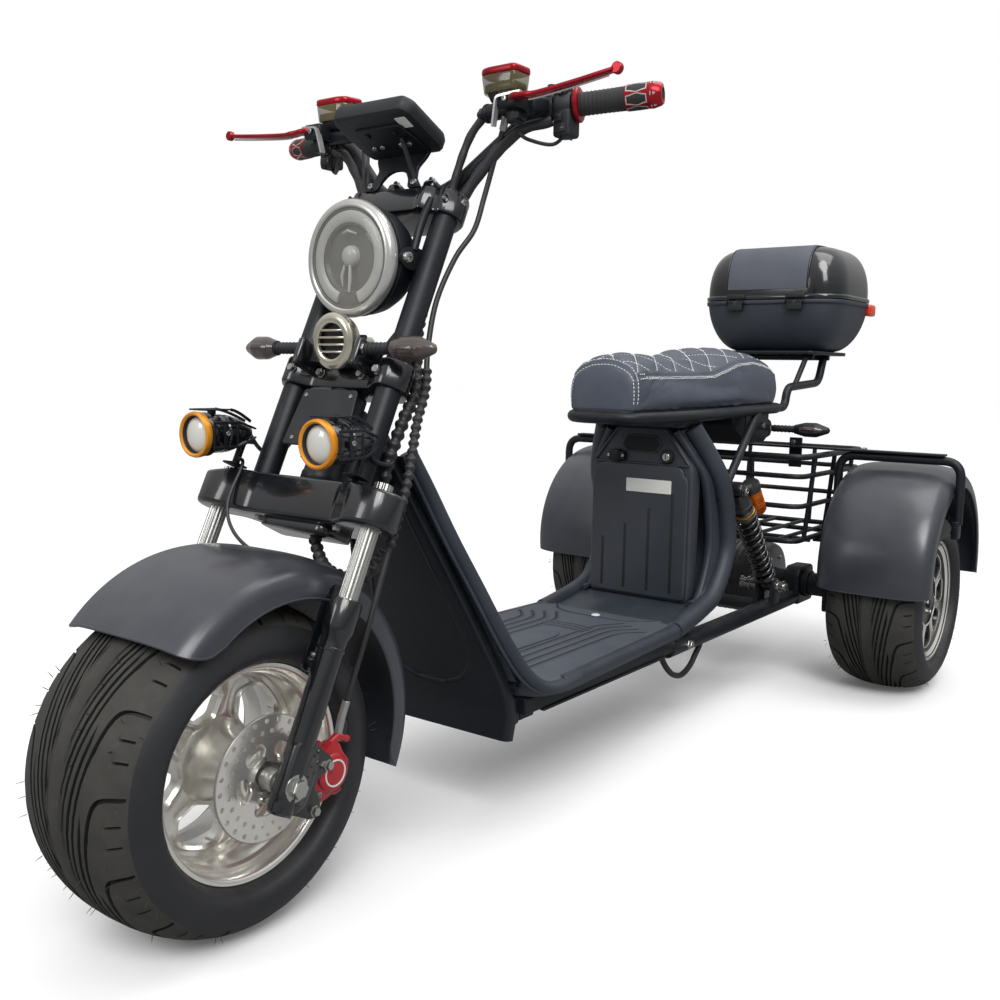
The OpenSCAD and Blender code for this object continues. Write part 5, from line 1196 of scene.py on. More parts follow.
# Deck: half width falls in a straight line from front to rear; edges are rolled
def deckHalf(behind):
    (front, wide), (rear, narrow) = bodyLook["deck"]
    return wide + (narrow - wide) * (behind - front) / (rear - front)


deckOutline = cornered([(484.5, 150), (520, 186), (1003, 158), (1003, -158), (520, -186), (484.5, -150)],
    42, 10)
deck = plate(deckOutline, 207.3, 235, 11, at, 6)
lip = tube([at(b, deckHalf(b) - 1, 221) for b in (560, 700, 850, 1004)], 14.6, 18)
cove = [at(b, 0, z) for b, z in ((478, 262), (486, 244), (500, 236), (520, 234), (512, 226), (474, 226))]
coveRows = np.array([[p + [0, y, 0] for p in cove] for y in np.linspace(-150, 150, 9)])


# Mat line: a dark strip of painted groove shade, standing for the shade in a groove, with a fine ridge on
# each side, along a path on the deck
def matLine(points, radius=14, level=235.2):
    path = rounded([at(b, y, level) for b, y in points], radius, 5)
    dark = sweep(path, flatSection(2.8, -0.8, 0.5), upZ)
    ridges = [sweep(path, oval(1.8, 1.1, 8, s * 4.4), upZ) for s in (-1, 1)]
    return dark, join(*ridges)


matPaths = []
for side in (-1, 1):
    for k, y in enumerate(bodyLook["bandAt"]):
        matPaths.append([(b, side * q) for b, q in ((506 + k, y + 4), (546, y + 3))])
        matPaths.append([(b, side * q) for b, q in ((554, y + 2), (862 - 10 * k, y - 3),
            (886 - 8 * k, y + 2), (934 - 12 * k, y + 34))])
    matPaths.append([(b, side * q) for b, q in ((1000, 122), (962, 96), (948, 60), (946, 0))])
matPaths += [[(b, -52), (b + 9, -20), (b + 9, 20), (b, 52)] for b in (824, 840, 856)]
matLines = [matLine(p) for p in matPaths]
plaque = plate(cornered([(556, -34), (770, -34), (796, -20), (796, 20), (770, 34), (556, 34)], 14, 6),
    234.2, 238, 2.2, at, 4)
button = lathe([(0, 2.6), (6, 2.4), (8.4, 1.4), (9, 0)], at(956, 0, 236.4), upZ, 28)
addPiece("footboard_mat", "frame", [(join(bothSides(lip), grid(coveRows, wrapCols=True)), "moulding"),
    (join(deck, plaque, *[m[1] for m in matLines]), "deckMat"), (join(*[m[0] for m in matLines]), "paintedGrooveShade"),
    (button, "sticker")], ["footboard"])

# Side rolls: a round lip that starts at the deck's side and climbs both flanks of the tub
rollPoints = [(985, 157, 221), (1007, 153, 223), (1118, 150, 243), (1180, 150, 268), (1232, 150, 345),
    (1227, 150, 420), (1198, 148, 500), (1172, 130, 556), (1144, 105, 612)]
rollPath = smoothPath(places(*rollPoints), 9)
roll = tube(rollPath, np.interp(np.linspace(0, 1, len(rollPath)), [0, 0.08, 1], [14, 19.5, 19.5]), 22)
addPiece("side_roll_lips", "frame", [(bothSides(roll), "moulding")], ["side_rolls"])

# Tub: a sheet bent along the seat tunnel's line; half width is even up to the shoulder and then narrows to
# the top
tubLine = smoothPath([at(b, 0, z) for b, z in ((1000, 222), (1060, 231), (1120, 244), (1175, 264),
    (1226, 345), (1222, 420), (1190, 510), (1134, 619))], 8)
tubHalf = 140 - 58 * ease(500, 621, tubLine[:, 2])
cols = np.linspace(-1, 1, 25)
sheet = tubLine[:, None] + np.stack([np.zeros((len(tubLine), 25)), tubHalf[:, None] * cols,
    np.zeros((len(tubLine), 25))], -1)
rim = 6 * ease(0.9, 1, np.abs(cols))[None, :, None]
normal = unit(np.stack([np.gradient(tubLine[:, 2]), 0 * tubLine[:, 0], -np.gradient(tubLine[:, 0])], -1))
faceSheet = sheet + normal[:, None] * (2 + rim)
backSheet = sheet - normal[:, None] * 6
tubShell = grid(np.concatenate([faceSheet, backSheet[:, ::-1]], 1), wrapCols=True)
ridgeLine = smoothPath([at(b, y, z) for b, y, z in ((1112, 128, 252), (1150, 128, 262), (1190, 128, 345),
    (1188, 128, 420), (1160, 128, 506), (1142, 112, 546), (1124, 78, 604))], 6)
ridges = [sweep(ridgeLine * [1, s, 1], oval(6, 9, 14), (0, 1, 0.3)) for s in (-1, 1)]
capPlate = softBox(at(1090, -104, 613), at(1196, 104, 624), 5)


# Web: a thin strip between two lines, each spread evenly over its own length, closed all round
def webBetween(first, second, thick, count=40):
    edges = []
    for line in (first, second):
        run = lengthsAlong(line)
        edges.append(pointsAlong(line, run, np.linspace(0, run[-1], count)))
    back = np.array([-thick, 0, 0])
    return loft(np.stack([edges[0], edges[1], edges[1] + back, edges[0] + back], 1))


web = webBetween(ridgeLine, rollPath[12:], 5)
addPiece("battery_tub_shell", "frame",
    [(join(tubShell, *ridges, bothSides(web)), "moulding"), (capPlate, "mattBlack")], ["battery_tub"])

# Battery: its back's height and distance behind; one shell from its face to the tub's line, with a raised
# lower plate, a handle slot, grooves and key slit drawn as thin plates of painted shade, charge cover and
# lock
batteryBack = np.array([(248.2, 1118), (260.2, 1155), (335, 1205), (412, 1202), (500, 1168), (598, 1127),
    (614, 1124)])


def batteryPlace(y, z, h):
    face, depth = bodyLook["batteryFace"], bodyLook["batteryDepth"]
    return at(face + h * (np.interp(z, batteryBack[:, 0], batteryBack[:, 1]) + 2 - face).clip(3) / depth, y,
        z)


shellOutline = cornered([(-119, 250), (119, 250), (119, 529), (60, 612), (-60, 612), (-119, 529)], 12, 5)
lowerOutline = cornered([(-113, 254), (113, 254), (113, 500), (108, 512), (104, 512), (100, 527), (84, 533),
    (-90, 533), (-108, 522), (-113, 508)], 8, 4)
shell = plate(shellOutline, 0, bodyLook["batteryDepth"], 5, batteryPlace, 4)
front = plate(lowerOutline, 1114.6, 1124, 3.4, facingAhead, 4)
border = sweep(np.array([at(1121, y, z)
    for y, z in cornered([(-113, 534), (-58, 606), (58, 606), (113, 534)], 5, 4)]), oval(3, 3, 12), aheadX,
    closed=True)
# The handle slot is a thin dark plate standing proud of the face: painted shade where the hollow would be
# dark
slot = plate(cornered([(-44, 574), (-33, 561), (33, 561), (44, 574), (33, 590), (-33, 590)], 3), 1120.6,
    1123, 0.6, facingAhead, 2)
slotLip = sweep(np.array([at(1121.4, y, z)
    for y, z in cornered([(-46, 574), (-34, 559), (34, 559), (46, 574), (34, 592), (-34, 592)], 4, 4)]),
    oval(2, 2, 10), aheadX, closed=True)
# Grooves: thin dark strips on the lower plate, painted shade for the grooves' recesses
grooves = [softBox(at(1115.4, y - 3, 266), at(1113.9, y + 3, top), 0.6, 3)
    for y, top in bodyLook["grooveTops"]]
cover = [softBox(at(1122, -76, 538), at(1110, -36, 558), 4),
    softBox(at(1122, -66, 536), at(1107, -46, 561), 4)]
lockAt = at(bodyLook["batteryFace"], 62, 551)
lock = lathe([(15, 0), (15, 5), (13, 9), (10.4, 10), (10.4, 8), (0, 8)], lockAt, aheadX, 36)
key = lathe([(0, 11.4), (7.4, 11.2), (8.6, 10), (8.6, 8)], lockAt, aheadX, 30)
# Key slit: a thin dark strip, painted shade in the key's slit
keySlit = softBox(at(1110.8, 61, 546), at(1110.2, 63, 556), 0.2, 2)
label = plate(cornered([(-30, 474), (76, 474), (76, 502), (-30, 502)], 2), 1113.9, 1114.7, 0.2, facingAhead,
    2)
addPiece("battery_case", "frame", [(join(shell, front, border, slotLip), "batteryShell"),
    (join(slot, *grooves, keySlit), "paintedGrooveShade"), (lock, "mattBlack"), (join(*cover), "satinBlack"),
    (label, "sticker"),
    (join(key, *[bolt(at(1110.5, y, 548), aheadX, 3.4, 2) for y in (-73, -39)]), "chrome")], ["battery"])
print("body made")

seatLook = {"behind": [945, 949, 956, 970, 1014, 1110, 1180, 1240, 1290, 1340, 1400, 1450, 1500, 1535, 1560,
    1574], "half": [56, 70, 80, 86, 92, 103, 111, 118, 124, 129, 132, 132, 130, 126, 117, 98],
    "seam": [24, 46, 62, 69, 70, 69, 69, 70, 82, 95, 98, 93, 84, 72, 58, 40],
    "crown": [44, 78, 100, 110, 112, 106, 104, 106, 114, 121, 124, 121, 110, 97, 80, 54], "floor": 653,
    "tilt": 0.021, "level": 1250, "shrink": 3.5, "swell": 6.0, "noseSeam": 957, "diamond": (76, 56),
    "channel": 2.4, "besideSeam": 3.6, "pressure": 3, "stitch": (5.2, 2.4, 0.95)}


def seatSize(name, behind):
    return np.interp(behind, seatLook["behind"], seatLook[name])


def seatTilt(behind):
    return seatLook["tilt"] * (behind - seatLook["level"])


def seatFloor(behind):
    return seatLook["floor"] + seatTilt(behind)


# Seat form: flat floor, sides bowed by a sine between floor and seam, then a crown with height = seam +
# rise * (1 - (y / half)^2.2)^0.6
def seatForm():
    less, rows = seatLook["shrink"], []
    for b in np.unique(np.concatenate([seatLook["behind"], np.arange(960, 1540, 20)])):
        w, s, c = seatSize("half", b) - less, seatSize("seam", b) - less, seatSize("crown", b) - less
        q = np.linspace(0, 1, 9)
        side = np.stack([w * (0.93 + 0.05 * np.sin(np.pi * q) + 0.01 * q), s * q], -1)
        y = side[-1, 0] * np.cos(np.linspace(0, np.pi / 2, 14)[1:])
        top = np.stack([y, s + (c - s) * (1 - (y / side[-1, 0]) ** 2.2) ** 0.6], -1)
        half = np.concatenate([[[0, 0], [0.6 * w, 0], [0.88 * w, 0]], side, top])
        ring = np.concatenate([half, half[-2:0:-1] * [-1, 1]])
        rows.append(at(b + 0 * ring[:, 0], ring[:, 0], seatFloor(b) + ring[:, 1]))
    return loft(rows)


# Diamond distance: for the lines p / length + y / width = whole number and p / length - y / width = whole
# number, how far a point lies from the nearest line
def diamondDistance(behind, y):
    length, width = seatLook["diamond"]
    slant = 1 / math.hypot(1 / length, 1 / width)
    near = [np.abs((behind / length + sign * y / width + 0.5) % 1 - 0.5) * slant for sign in (-1, 1)]
    return np.minimum(*near)


# Cushion: remesh to even squares, swell it under pressure with the floor held, cap the movement, then press
# the seams in
def cushion(obj):
    mod = obj.modifiers.new("even", "REMESH")
    mod.mode = "VOXEL"
    mod.voxel_size = 0.005
    graph = bpy.context.evaluated_depsgraph_get()
    even = bpy.data.meshes.new_from_object(obj.evaluated_get(graph))
    obj.modifiers.clear()
    obj.data = even
    start = np.empty(len(even.vertices) * 3)
    even.vertices.foreach_get("co", start)
    start = start.reshape(-1, 3)
    ends = start.copy()
    group = obj.vertex_groups.new(name="held")
    held = np.nonzero(start[:, 2] * 1000 < seatFloor(frontAxle - start[:, 0] * 1000) + 7)[0]
    group.add(held.tolist(), 1.0, "REPLACE")
    cloth = obj.modifiers.new("swell", "CLOTH")
    cloth.settings.use_pressure = True
    cloth.settings.uniform_pressure_force = seatLook["pressure"]
    cloth.settings.effector_weights.gravity = 0
    cloth.settings.vertex_group_mass = "held"
    scene = bpy.context.scene
    for step in range(1, 21):
        scene.frame_set(step)
    moved = bpy.data.meshes.new_from_object(obj.evaluated_get(bpy.context.evaluated_depsgraph_get()))
    flat = np.empty(len(moved.vertices) * 3)
    moved.vertices.foreach_get("co", flat)
    ends = flat.reshape(-1, 3)
    obj.modifiers.clear()
    obj.vertex_groups.clear()
    scene.frame_set(1)
    bpy.data.meshes.remove(moved)
    shift = ends - start
    size = np.linalg.norm(shift, axis=1, keepdims=True)
    cap = seatLook["swell"] * 0.001
    ends = start + shift * np.minimum(1, cap / np.maximum(size, 1e-9))
    even.vertices.foreach_set("co", ends.ravel())
    fine = obj.modifiers.new("fine", "SUBSURF")
    fine.levels = fine.render_levels = 1
    smooth = bpy.data.meshes.new_from_object(obj.evaluated_get(bpy.context.evaluated_depsgraph_get()))
    obj.modifiers.clear()
    obj.data = smooth
    n = len(smooth.vertices)
    p, normals = np.empty(n * 3), np.empty(n * 3)
    smooth.vertices.foreach_get("co", p)
    smooth.vertices.foreach_get("normal", normals)
    p, normals = p.reshape(-1, 3) * 1000, normals.reshape(-1, 3)
    behind, y = frontAxle - p[:, 0], p[:, 1]
    up = p[:, 2] - seatFloor(behind)
    seam = seatSize("seam", behind)
    nose = seatLook["noseSeam"]
    onTop = ease(4, 16, up - seam) * ease(nose + 2, nose + 12, behind) * (1 - ease(1535, 1550, behind))
    d = diamondDistance(behind, y)
    press = seatLook["channel"] * (np.exp(-(d / 4.5) ** 2) - 0.5 * (1 - np.exp(-(d / 15) ** 2))) * onTop
    side = ease(0.6, 0.85, np.abs(y) / seatSize("half", behind)) * ease(nose - 2, nose + 4, behind)
    press += 1.6 * np.exp(-((up - seam) / 3.2) ** 2) * side
    press += 1.8 * np.exp(-((behind - nose) / 3.2) ** 2) * ease(8, 20, up)
    smooth.vertices.foreach_set("co", ((p - normals * press[:, None]) * 0.001).ravel())
    smooth.update()
    smooth.shade_smooth()


# Stitches: short round threads along a line of points, laid on the cushion by the nearest surface point
def stitches(points, tree):
    length, gap, r = seatLook["stitch"]
    points = np.asarray(points)
    run = lengthsAlong(points)
    found = []
    for start in np.arange(0, run[-1] - length, length + gap):
        way = start + np.array([0, 0.25, 0.5, 0.75, 1]) * length
        dash = pointsAlong(points, run, way)
        laid = []
        for q, lift in zip(dash, (-0.9, 0.35, 0.6, 0.35, -0.9)):
            hit, normal, _, _ = tree.find_nearest(Vector(q * 0.001))
            laid.append(np.array(hit) * 1000 + np.array(normal) * lift)
        found.append(tube(laid, r, 5))
    return found


# Lines of stitches: two beside each side seam, two beside the nose seam, then the diamonds' lines
def seatLines():
    nose, lines = seatLook["noseSeam"], []
    beside = seatLook["besideSeam"]
    b = np.arange(nose + 12, 1552, 4.0)
    for side in (-1, 1):
        for above in (-beside, beside):
            lines.append(at(b, side * seatSize("half", b) * 0.97,
                seatFloor(b) + seatSize("seam", b) + above))
    for behind in (-beside, beside):
        b = nose + behind
        w, s, c = seatSize("half", b), seatSize("seam", b), seatSize("crown", b)
        y = w * 0.95 * np.cos(np.linspace(0, np.pi, 60))
        arch = s + (c - s) * (1 - np.abs(y / (w * 0.95)) ** 2.2).clip(0) ** 0.6
        legs = np.linspace(14, s, 16)[:-1]
        line = [(w * 0.96, h) for h in legs] + list(zip(y, arch)) + [(-w * 0.96, h) for h in legs[::-1]]
        lines.append([at(b, q, seatFloor(b) + h) for q, h in line])
    length, width = seatLook["diamond"]
    b = np.arange(nose + 8, 1544, 4.0)
    for sign in (-1, 1):
        for k in range(10, 30):
            y = sign * (k - b / length) * width
            kept = np.abs(y) < seatSize("half", b) * 0.9
            if kept.sum() > 3:
                lines.append(at(b, y, seatFloor(b) + seatSize("crown", b))[kept])
    return lines


# Those points of a line that lie on the seat's top, dropped onto it from above
def onCrown(line, tree):
    fitted = []
    for q in line:
        hit = tree.ray_cast(Vector((q[0] * 0.001, q[1] * 0.001, 1.0)), Vector((0, 0, -1)))[0]
        if hit is not None:
            b = frontAxle - q[0]
            if hit.z * 1000 - seatFloor(b) > seatSize("seam", b) + 6:
                fitted.append(np.array(hit) * 1000)
    return fitted


seatObj = addPiece("seat_cushion", "frame", [(seatForm(), "leather")], ["seat"])
cushion(seatObj)
seatTree = BVHTree.FromObject(seatObj, bpy.context.evaluated_depsgraph_get())
threads = []
for number, line in enumerate(seatLines()):
    line = line if number < 6 else onCrown(line, seatTree)
    if len(line) > 3:
        threads += stitches(line, seatTree)
addPiece("seat_stitching", "frame", [(join(*threads), "thread")])


def tilted(a, b, h):
    return at(a, b, h + seatTilt(a))


panOutline = [(b, 0.86 * seatSize("half", b)) for b in (944, 956, 986, 1100, 1250, 1400, 1520, 1560, 1570)]
pan = plate(cornered(panOutline + [(b, -w) for b, w in panOutline[::-1]], 6, 3), 645, 656, 3, tilted)
addPiece("seat_pan", "frame", [(pan, "mattBlack")])
loopPoints = [(1585, -118, 640), (1585, 118, 640), (1100, 120, 640), (944, 72, 640), (944, -72, 640),
    (1100, -120, 640)]
loop = tube(rounded([tilted(*p) for p in loopPoints], 55, 10, closed=True), 12, 20, closed=True)
strut = tube(places((1436, 120, 640), (1206, 149, 476)), 9, 16)
strutFoot = plate(cornered([(1190, 462), (1212, 462), (1226, 482), (1216, 494), (1196, 488)], 5), 140, 150,
    1.5, sideways)
addPiece("seat_loop_tubes", "frame", [(join(loop, bothSides(strut, strutFoot)), "satinBlack")],
    ["seat_frame"])
print("seat made")

rearLook = {"tubeR": 19, "railY": 140, "basketHalf": 214, "wires": 5, "coils": 9.5, "coilR": 21.5,
    "coilWire": 4.6}
axleAt = at(wheelbase, 0, rearTyre[0])

# Rear frame: two rails, cross tubes, shock lugs and plates that carry the axle
rail = tube(rounded([at(b, rearLook["railY"], z) for b, z in ((996, 183), (1660, 183), (1700, 196))], 20),
    rearLook["tubeR"], 24)
crossTubes = [tube([at(b, s * rearLook["railY"], 183) for s in (-1, 1)], 14, 18) for b in (1120, 1505)]
lugs = [plate(cornered([(1480, 186), (1488, 250), (1522, 250), (1530, 186)], 8), y, y + 8, 1.5, sideways)
    for y in (112.7, 149.3)]
railPlate = plate(cornered([(1640, 166), (1740, 166), (1740, 250), (1724, 258), (1656, 258), (1640, 240)],
    10), 121, 159, 3, sideways)
bracket = [softBox(at(1040, 120, 164), at(1076, 128, 202), 2),
    bolt(at(1058, 159, 183), leftAxis, 8, 8, False)]
addPiece("rear_frame_tubes", "frame",
    [(join(bothSides(rail, *lugs, railPlate, bracket[0]), *crossTubes), "satinBlack"),
    (bothSides(bracket[1]), "chrome")], ["rear_frame"])
beam = lathe([(12, -440), (12.5, -438), (12.5, -237), (24, -236), (28, -232), (28, 232), (24, 236),
    (12.5, 237), (12.5, 438), (12, 440)], axleAt, leftAxis, 40)
collars = [lathe([(28, 0), (33, 1), (33, 17), (28, 18)], axleAt + [0, s * 165 - 9, 0], leftAxis, 36)
    for s in (-1, 1)]
addPiece("rear_axle_beam", "frame", [(join(beam, *collars), "satinBlack")], ["axle_beam"])
# Motor: a finned drum; the fins are thin rings down its length
drum = lathe([(30, -78), (70, -78), (86, -74), (90, -66), (90, 66), (86, 74), (70, 78), (30, 78)], axleAt,
    leftAxis, 72)
fins = [lathe([(89.6, h - 2.2), (92, h - 1.4), (92, h + 1.4), (89.6, h + 2.2)], axleAt, leftAxis, 72)
    for h in range(-56, 57, 14)]
motorBolts = [bolt(axleAt + [-60 * math.cos(a), s * 77.6, 60 * math.sin(a)], (0, s, 0), 5, 4)
    for s in (-1, 1) for a in np.arange(6) * full / 6]
addPiece("drive_motor_case", "frame", [(join(drum, *fins), "blackAlloy"), (join(*motorBolts), "steel")],
    ["drive_motor"])
wing = plate(cornered([(1626, 160), (1700, 160), (1740, 190), (1740, 300), (1724, 334), (1640, 334),
    (1626, 320)], 12), 224, 232.7, 1.5, sideways)
wingTop = softBox(at(1640, 188, 327), at(1724, 228, 334.5), 2)
axleNuts = [bolt(at(b, 232.7, z), leftAxis, 8, 8, False)
    for b, z in ((1650, 186), (1716, 300), (1650, 300))]
addPiece("axle_side_plates", "frame",
    [(bothSides(wing, wingTop), "satinBlack"), (bothSides(*axleNuts), "steel")], ["axle_plates"])
mountPlate = plate(cornered([(1234, 366), (1229, 421), (1199, 500), (1330, 500), (1334, 462), (1300, 448)],
    9), 104, 112, 2, sideways)
crossRod = tube(places((1284, -108, 486), (1284, 108, 486)), 9, 18)
mountBolt = bolt(at(1310, 104, 473), rightAxis, 9, 7, False)
addPiece("shock_mount_plates", "frame",
    [(join(bothSides(mountPlate), crossRod), "satinBlack"), (bothSides(mountBolt), "chrome")],
    ["shock_mount"])


# Shock: a helix round the line between the eyes, a turned body, gold collars, an orange can beside the top
def shock():
    low, high = at(1505, 135, 234), at(1310, 135, 473)
    axis = unit(high - low)
    length = np.linalg.norm(high - low)
    side = np.array([axis[2], 0, -axis[0]])
    t = np.linspace(0, 1, 420)
    a = t * full * rearLook["coils"]
    way = (0.12 + 0.6 * t) * length
    coil = low + axis * way[:, None] + rearLook["coilR"] * (np.cos(a)[:, None] * side + np.sin(a)[:, None]
        * np.array(leftAxis))

    # Profile turned about the shock's line, its heights shares of the length
    def turned(profile, steps):
        return lathe([(r, share * length) for r, share in profile], low, axis, steps)

    rod = lathe([(8, 10), (8, 0.5 * length), (14, 0.5 * length), (14, 0.76 * length)], low, axis, 28)
    seatLow = turned([(9, 0.05), (15, 0.06), (26, 0.1), (26.4, 0.12), (20, 0.125)], 40)
    top = turned([(16, 0.735), (26, 0.74), (26.4, 0.765), (22, 0.77), (22, 0.8), (19, 0.81), (18.6, 0.95),
        (14, 0.97)], 40)
    goldRing = turned([(22, 0.772), (24.6, 0.774), (24.6, 0.79), (22, 0.792)], 40)
    nuts = turned([(19, 0.83), (23.5, 0.832), (23.5, 0.86), (19, 0.862)], 10)
    eyes = [lathe([(6, -14), (12, -14), (13.4, -12), (13.4, 12), (12, 14), (6, 14)], p, leftAxis, 32)
        for p in (low, high)]
    canFoot = high + axis * -118 + side * -58
    can = lathe([(0, -2), (17, -2), (19.4, 2), (19.4, 62), (18, 66)], canFoot, axis, 36)
    canRings = [lathe([(19.3, h), (20, h + 0.8), (20, h + 1.6), (19.3, h + 2.4)], canFoot, axis, 36)
        for h in (20, 28, 50)]
    canTop = [lathe([(18, 64), (21, 66), (21, 80), (18, 84), (0, 84)], canFoot, axis, 32),
        tube([canFoot + axis * 74, high + axis * -16], 9, 16)]
    pins = [lathe([(6, -24), (6, 24)], p, leftAxis, 18) for p in (low, high)]
    washers = [lathe([(5, h), (12, h + 0.4), (12, h + 3), (5, h + 3.4)], p, leftAxis, 28)
        for p in (low, high) for h in (-18, 15, 20)]
    washers.append(lathe([(6, 23), (14, 23.4), (14, 28), (10.6, 28.4), (10.6, 37), (13.4, 37.4), (13.4, 42),
        (8, 42.4), (8, 49), (0, 50)], low, leftAxis, 28))
    washers.append(lathe([(6, 23), (14, 23.4), (14, 28), (11, 28.4), (11, 40), (15, 40.4), (15, 46),
        (11, 46.4), (11, 58), (14, 58.4), (14, 64), (0, 64.4)], low, rightAxis, 28))
    darkParts = [rod, seatLow, top, nuts, *eyes, *canTop]
    return tube(coil, rearLook["coilWire"], 10), darkParts, goldRing, [can, *canRings], [*pins, *washers]


coilShape, darkParts, goldRing, canParts, brightParts = shock()
addPiece("rear_shocks", "frame", [(bothSides(coilShape), "glossBlack"),
    (bothSides(*darkParts), "blackAlloy"), (bothSides(goldRing), "gold"),
    (bothSides(*canParts), "orangeCan"), (bothSides(*brightParts), "chrome")], ["shocks"])
hoop = tube(rounded(places((1640, 243, 262), (1640, 243, 540), (1640, 515, 540), (1640, 515, 402)), 38, 8),
    10, 20)
hoopFoot = softBox(at(1626, 505, 368), at(1654, 520, 408), 3)
footScrew = bolt(at(1640, 505, 380), rightAxis, 5, 4)
addPiece("guard_hoops", "frame",
    [(bothSides(hoop, hoopFoot), "satinBlack"), (bothSides(footScrew), "chrome")], ["mudguard_hoops"])
strap = softBox(at(1625, -480, 550), at(1655, 480, 555), 1.2)
tabs = softBox(at(1660, 112, 502), at(1655, 144, 574), 2)
strapBolts = [bolt(at(1640, 300, 555), upZ, 6, 5, False), bolt(at(1655, 122, 562), aheadX, 6, 5, False)]
addPiece("cross_strap_bar", "frame",
    [(join(strap, bothSides(tabs)), "satinBlack"), (bothSides(*strapBolts), "chrome")], ["cross_strap"])


# Basket: rounded rectangles of tube that draw in towards the floor, uprights through them, and a floor of
# long bars
def basketLoop(z, r, shrink):
    a, b, w = 1486 + shrink, 1894 - shrink, rearLook["basketHalf"] - shrink
    return tube(rounded(places((a, -w, z), (a, w, z), (b, w, z), (b, -w, z)), 34, 8, closed=True), r, 14,
        closed=True)


basketLevels = ((539, 7, 0), (494, 6, 4), (424, 6, 10), (342, 6.5, 18))
loops = [basketLoop(*level) for level in basketLevels]
posts = [tube([at(b, s * (rearLook["basketHalf"] - k), z) for z, r, k in basketLevels], 5.6, 12)
    for b in (1560, 1690, 1820) for s in (-1, 1)]
posts += [tube([at(b + s * k, y, z) for z, r, k in basketLevels], 5.6, 12)
    for b, s in ((1486, 1), (1894, -1)) for y in (-90, 90)]
floorWires = [tube(places((1506, y, 342), (1874, y, 342)), 5, 12)
    for y in np.linspace(-150, 150, rearLook["wires"])]
floorBars = [tube(places((b, -196, 336), (b, 196, 336)), 6, 12) for b in (1600, 1780)]
addPiece("basket_wire_floor", "frame", [(join(*floorWires, *floorBars, loops[3]), "satinBlack")],
    ["basket_floor"])
addPiece("basket_wire_walls", "frame", [(join(*loops[:3], *posts), "satinBlack")], ["basket_walls"])

# Tail: a folded sheet box under the seat, with the stop lamp and the two signals
tailBox = plate(cornered([(1352, 652), (1556, 652), (1556, 580), (1530, 566), (1430, 566), (1352, 610)], 8),
    -98, 98, 3, sideways)
foldLine = [softBox(at(1420, s * 98 - 1.5, 566), at(1424, s * 98 + 1.5, 650), 1, 3) for s in (-1, 1)]
boxScrew = [bolt(at(1520, s * 98, 606), (0, s, 0), 7, 5) for s in (-1, 1)]
addPiece("tail_box_sheet", "frame", [(join(tailBox, *foldLine), "satinBlack"), (join(*boxScrew), "steel")],
    ["tail_box"])
lampShell = softBox(at(1556, -92, 574), at(1600, 92, 620), 14)
lampLens = softBox(at(1590, -86, 579), at(1613, 86, 615), 11)
lampRows = [softBox(at(1607, -80, z - 2), at(1613.4, 80, z + 2), 1.4, 3) for z in (588, 597, 606)]
addPiece("tail_lamp_unit", "frame", [(lampShell, "mattBlack"), (join(lampLens, *lampRows), "redLens")],
    ["tail_lamp"])
addSignals("rear_signal_pair", "rear_signals", 1588, 597, 96, 150, 233, "frame", "satinBlack")
print("rear made")

caseLook = {"centre": (-973.5, 0), "half": (150, 187), "corner": 88, "floor": 785, "joint": 912,
    "lidHeight": 134, "padHalf": 104, "wall": 4}


# Case row: a rounded rectangle drawn in by an inset, its corner shrinking with the inset
def caseRow(inset, z):
    a, b = caseLook["half"][0] - inset, caseLook["half"][1] - inset
    r = max(caseLook["corner"] - 0.55 * inset, 8)
    ring = cornered([(a, -b), (a, b), (-a, b), (-a, -b)], min(r, a * 0.98, b * 0.98), 12)
    return np.stack([caseLook["centre"][0] + ring[:, 0], ring[:, 1], np.full(len(ring), z)], -1)


# Case shell: the outer rows from the rim to the middle, and before them the inner wall's, a wall's
# thickness away
def caseShell(outer, wall):
    inside = [(inset + abs(wall), z + wall) for inset, z in outer[len(rim):]]
    return loft([caseRow(inset, z) for inset, z in inside[::-1] + outer])


# Lid profile from the rim to the crown: the inset is 4 and 74 times one less the power 0.8 of the cosine,
# the height above the rim is the lid's times the power 0.85 of the sine
def lidInset(a):
    return 4 + 74 * (1 - np.cos(a) ** 0.8)


def lidHeight(a):
    return caseLook["joint"] + 12 + (caseLook["lidHeight"] - 13) * np.sin(a) ** 0.85


swing = np.linspace(0, np.pi / 2, 22)
rim = [(7, 1), (0.6, 1.2), (0, 2.4), (0, 9), (1, 10.6), (3.6, 11.6)]
joint = caseLook["joint"]
lidRows = [(i, joint + h)
    for i, h in rim] + list(zip(lidInset(swing), lidHeight(swing))) + [(100, joint + 134),
    (128, joint + 134.6)]
baseRows = [(i, joint - h) for i, h in rim]
baseRows += [(4 + 62 * (1 - math.cos(a)) + 10 * math.sin(a), joint - 12 - 114 * math.sin(a)) for a in swing]
baseRows += [(100, caseLook["floor"]), (128, caseLook["floor"])]
padLine = np.stack([caseLook["centre"][0] + caseLook["half"][0] - lidInset(swing), 0 * swing,
    lidHeight(swing)], -1)
padTop = [(x, 0, joint + 134.4) for x in (-925, -950, -985, -1010)]
padPath = np.concatenate([padLine[1:], padTop])
w = caseLook["padHalf"]
padSection = cornered([(-3.4, -w), (3.6, -w), (3.6, w), (-3.4, w)], 3, 4)
pad = sweep(padPath, padSection, rightAxis)
seamLines = [tube(padPath + np.array([1.5, s * (w + 2.5), 0.8]), 1.5, 8) for s in (-1, 1)]
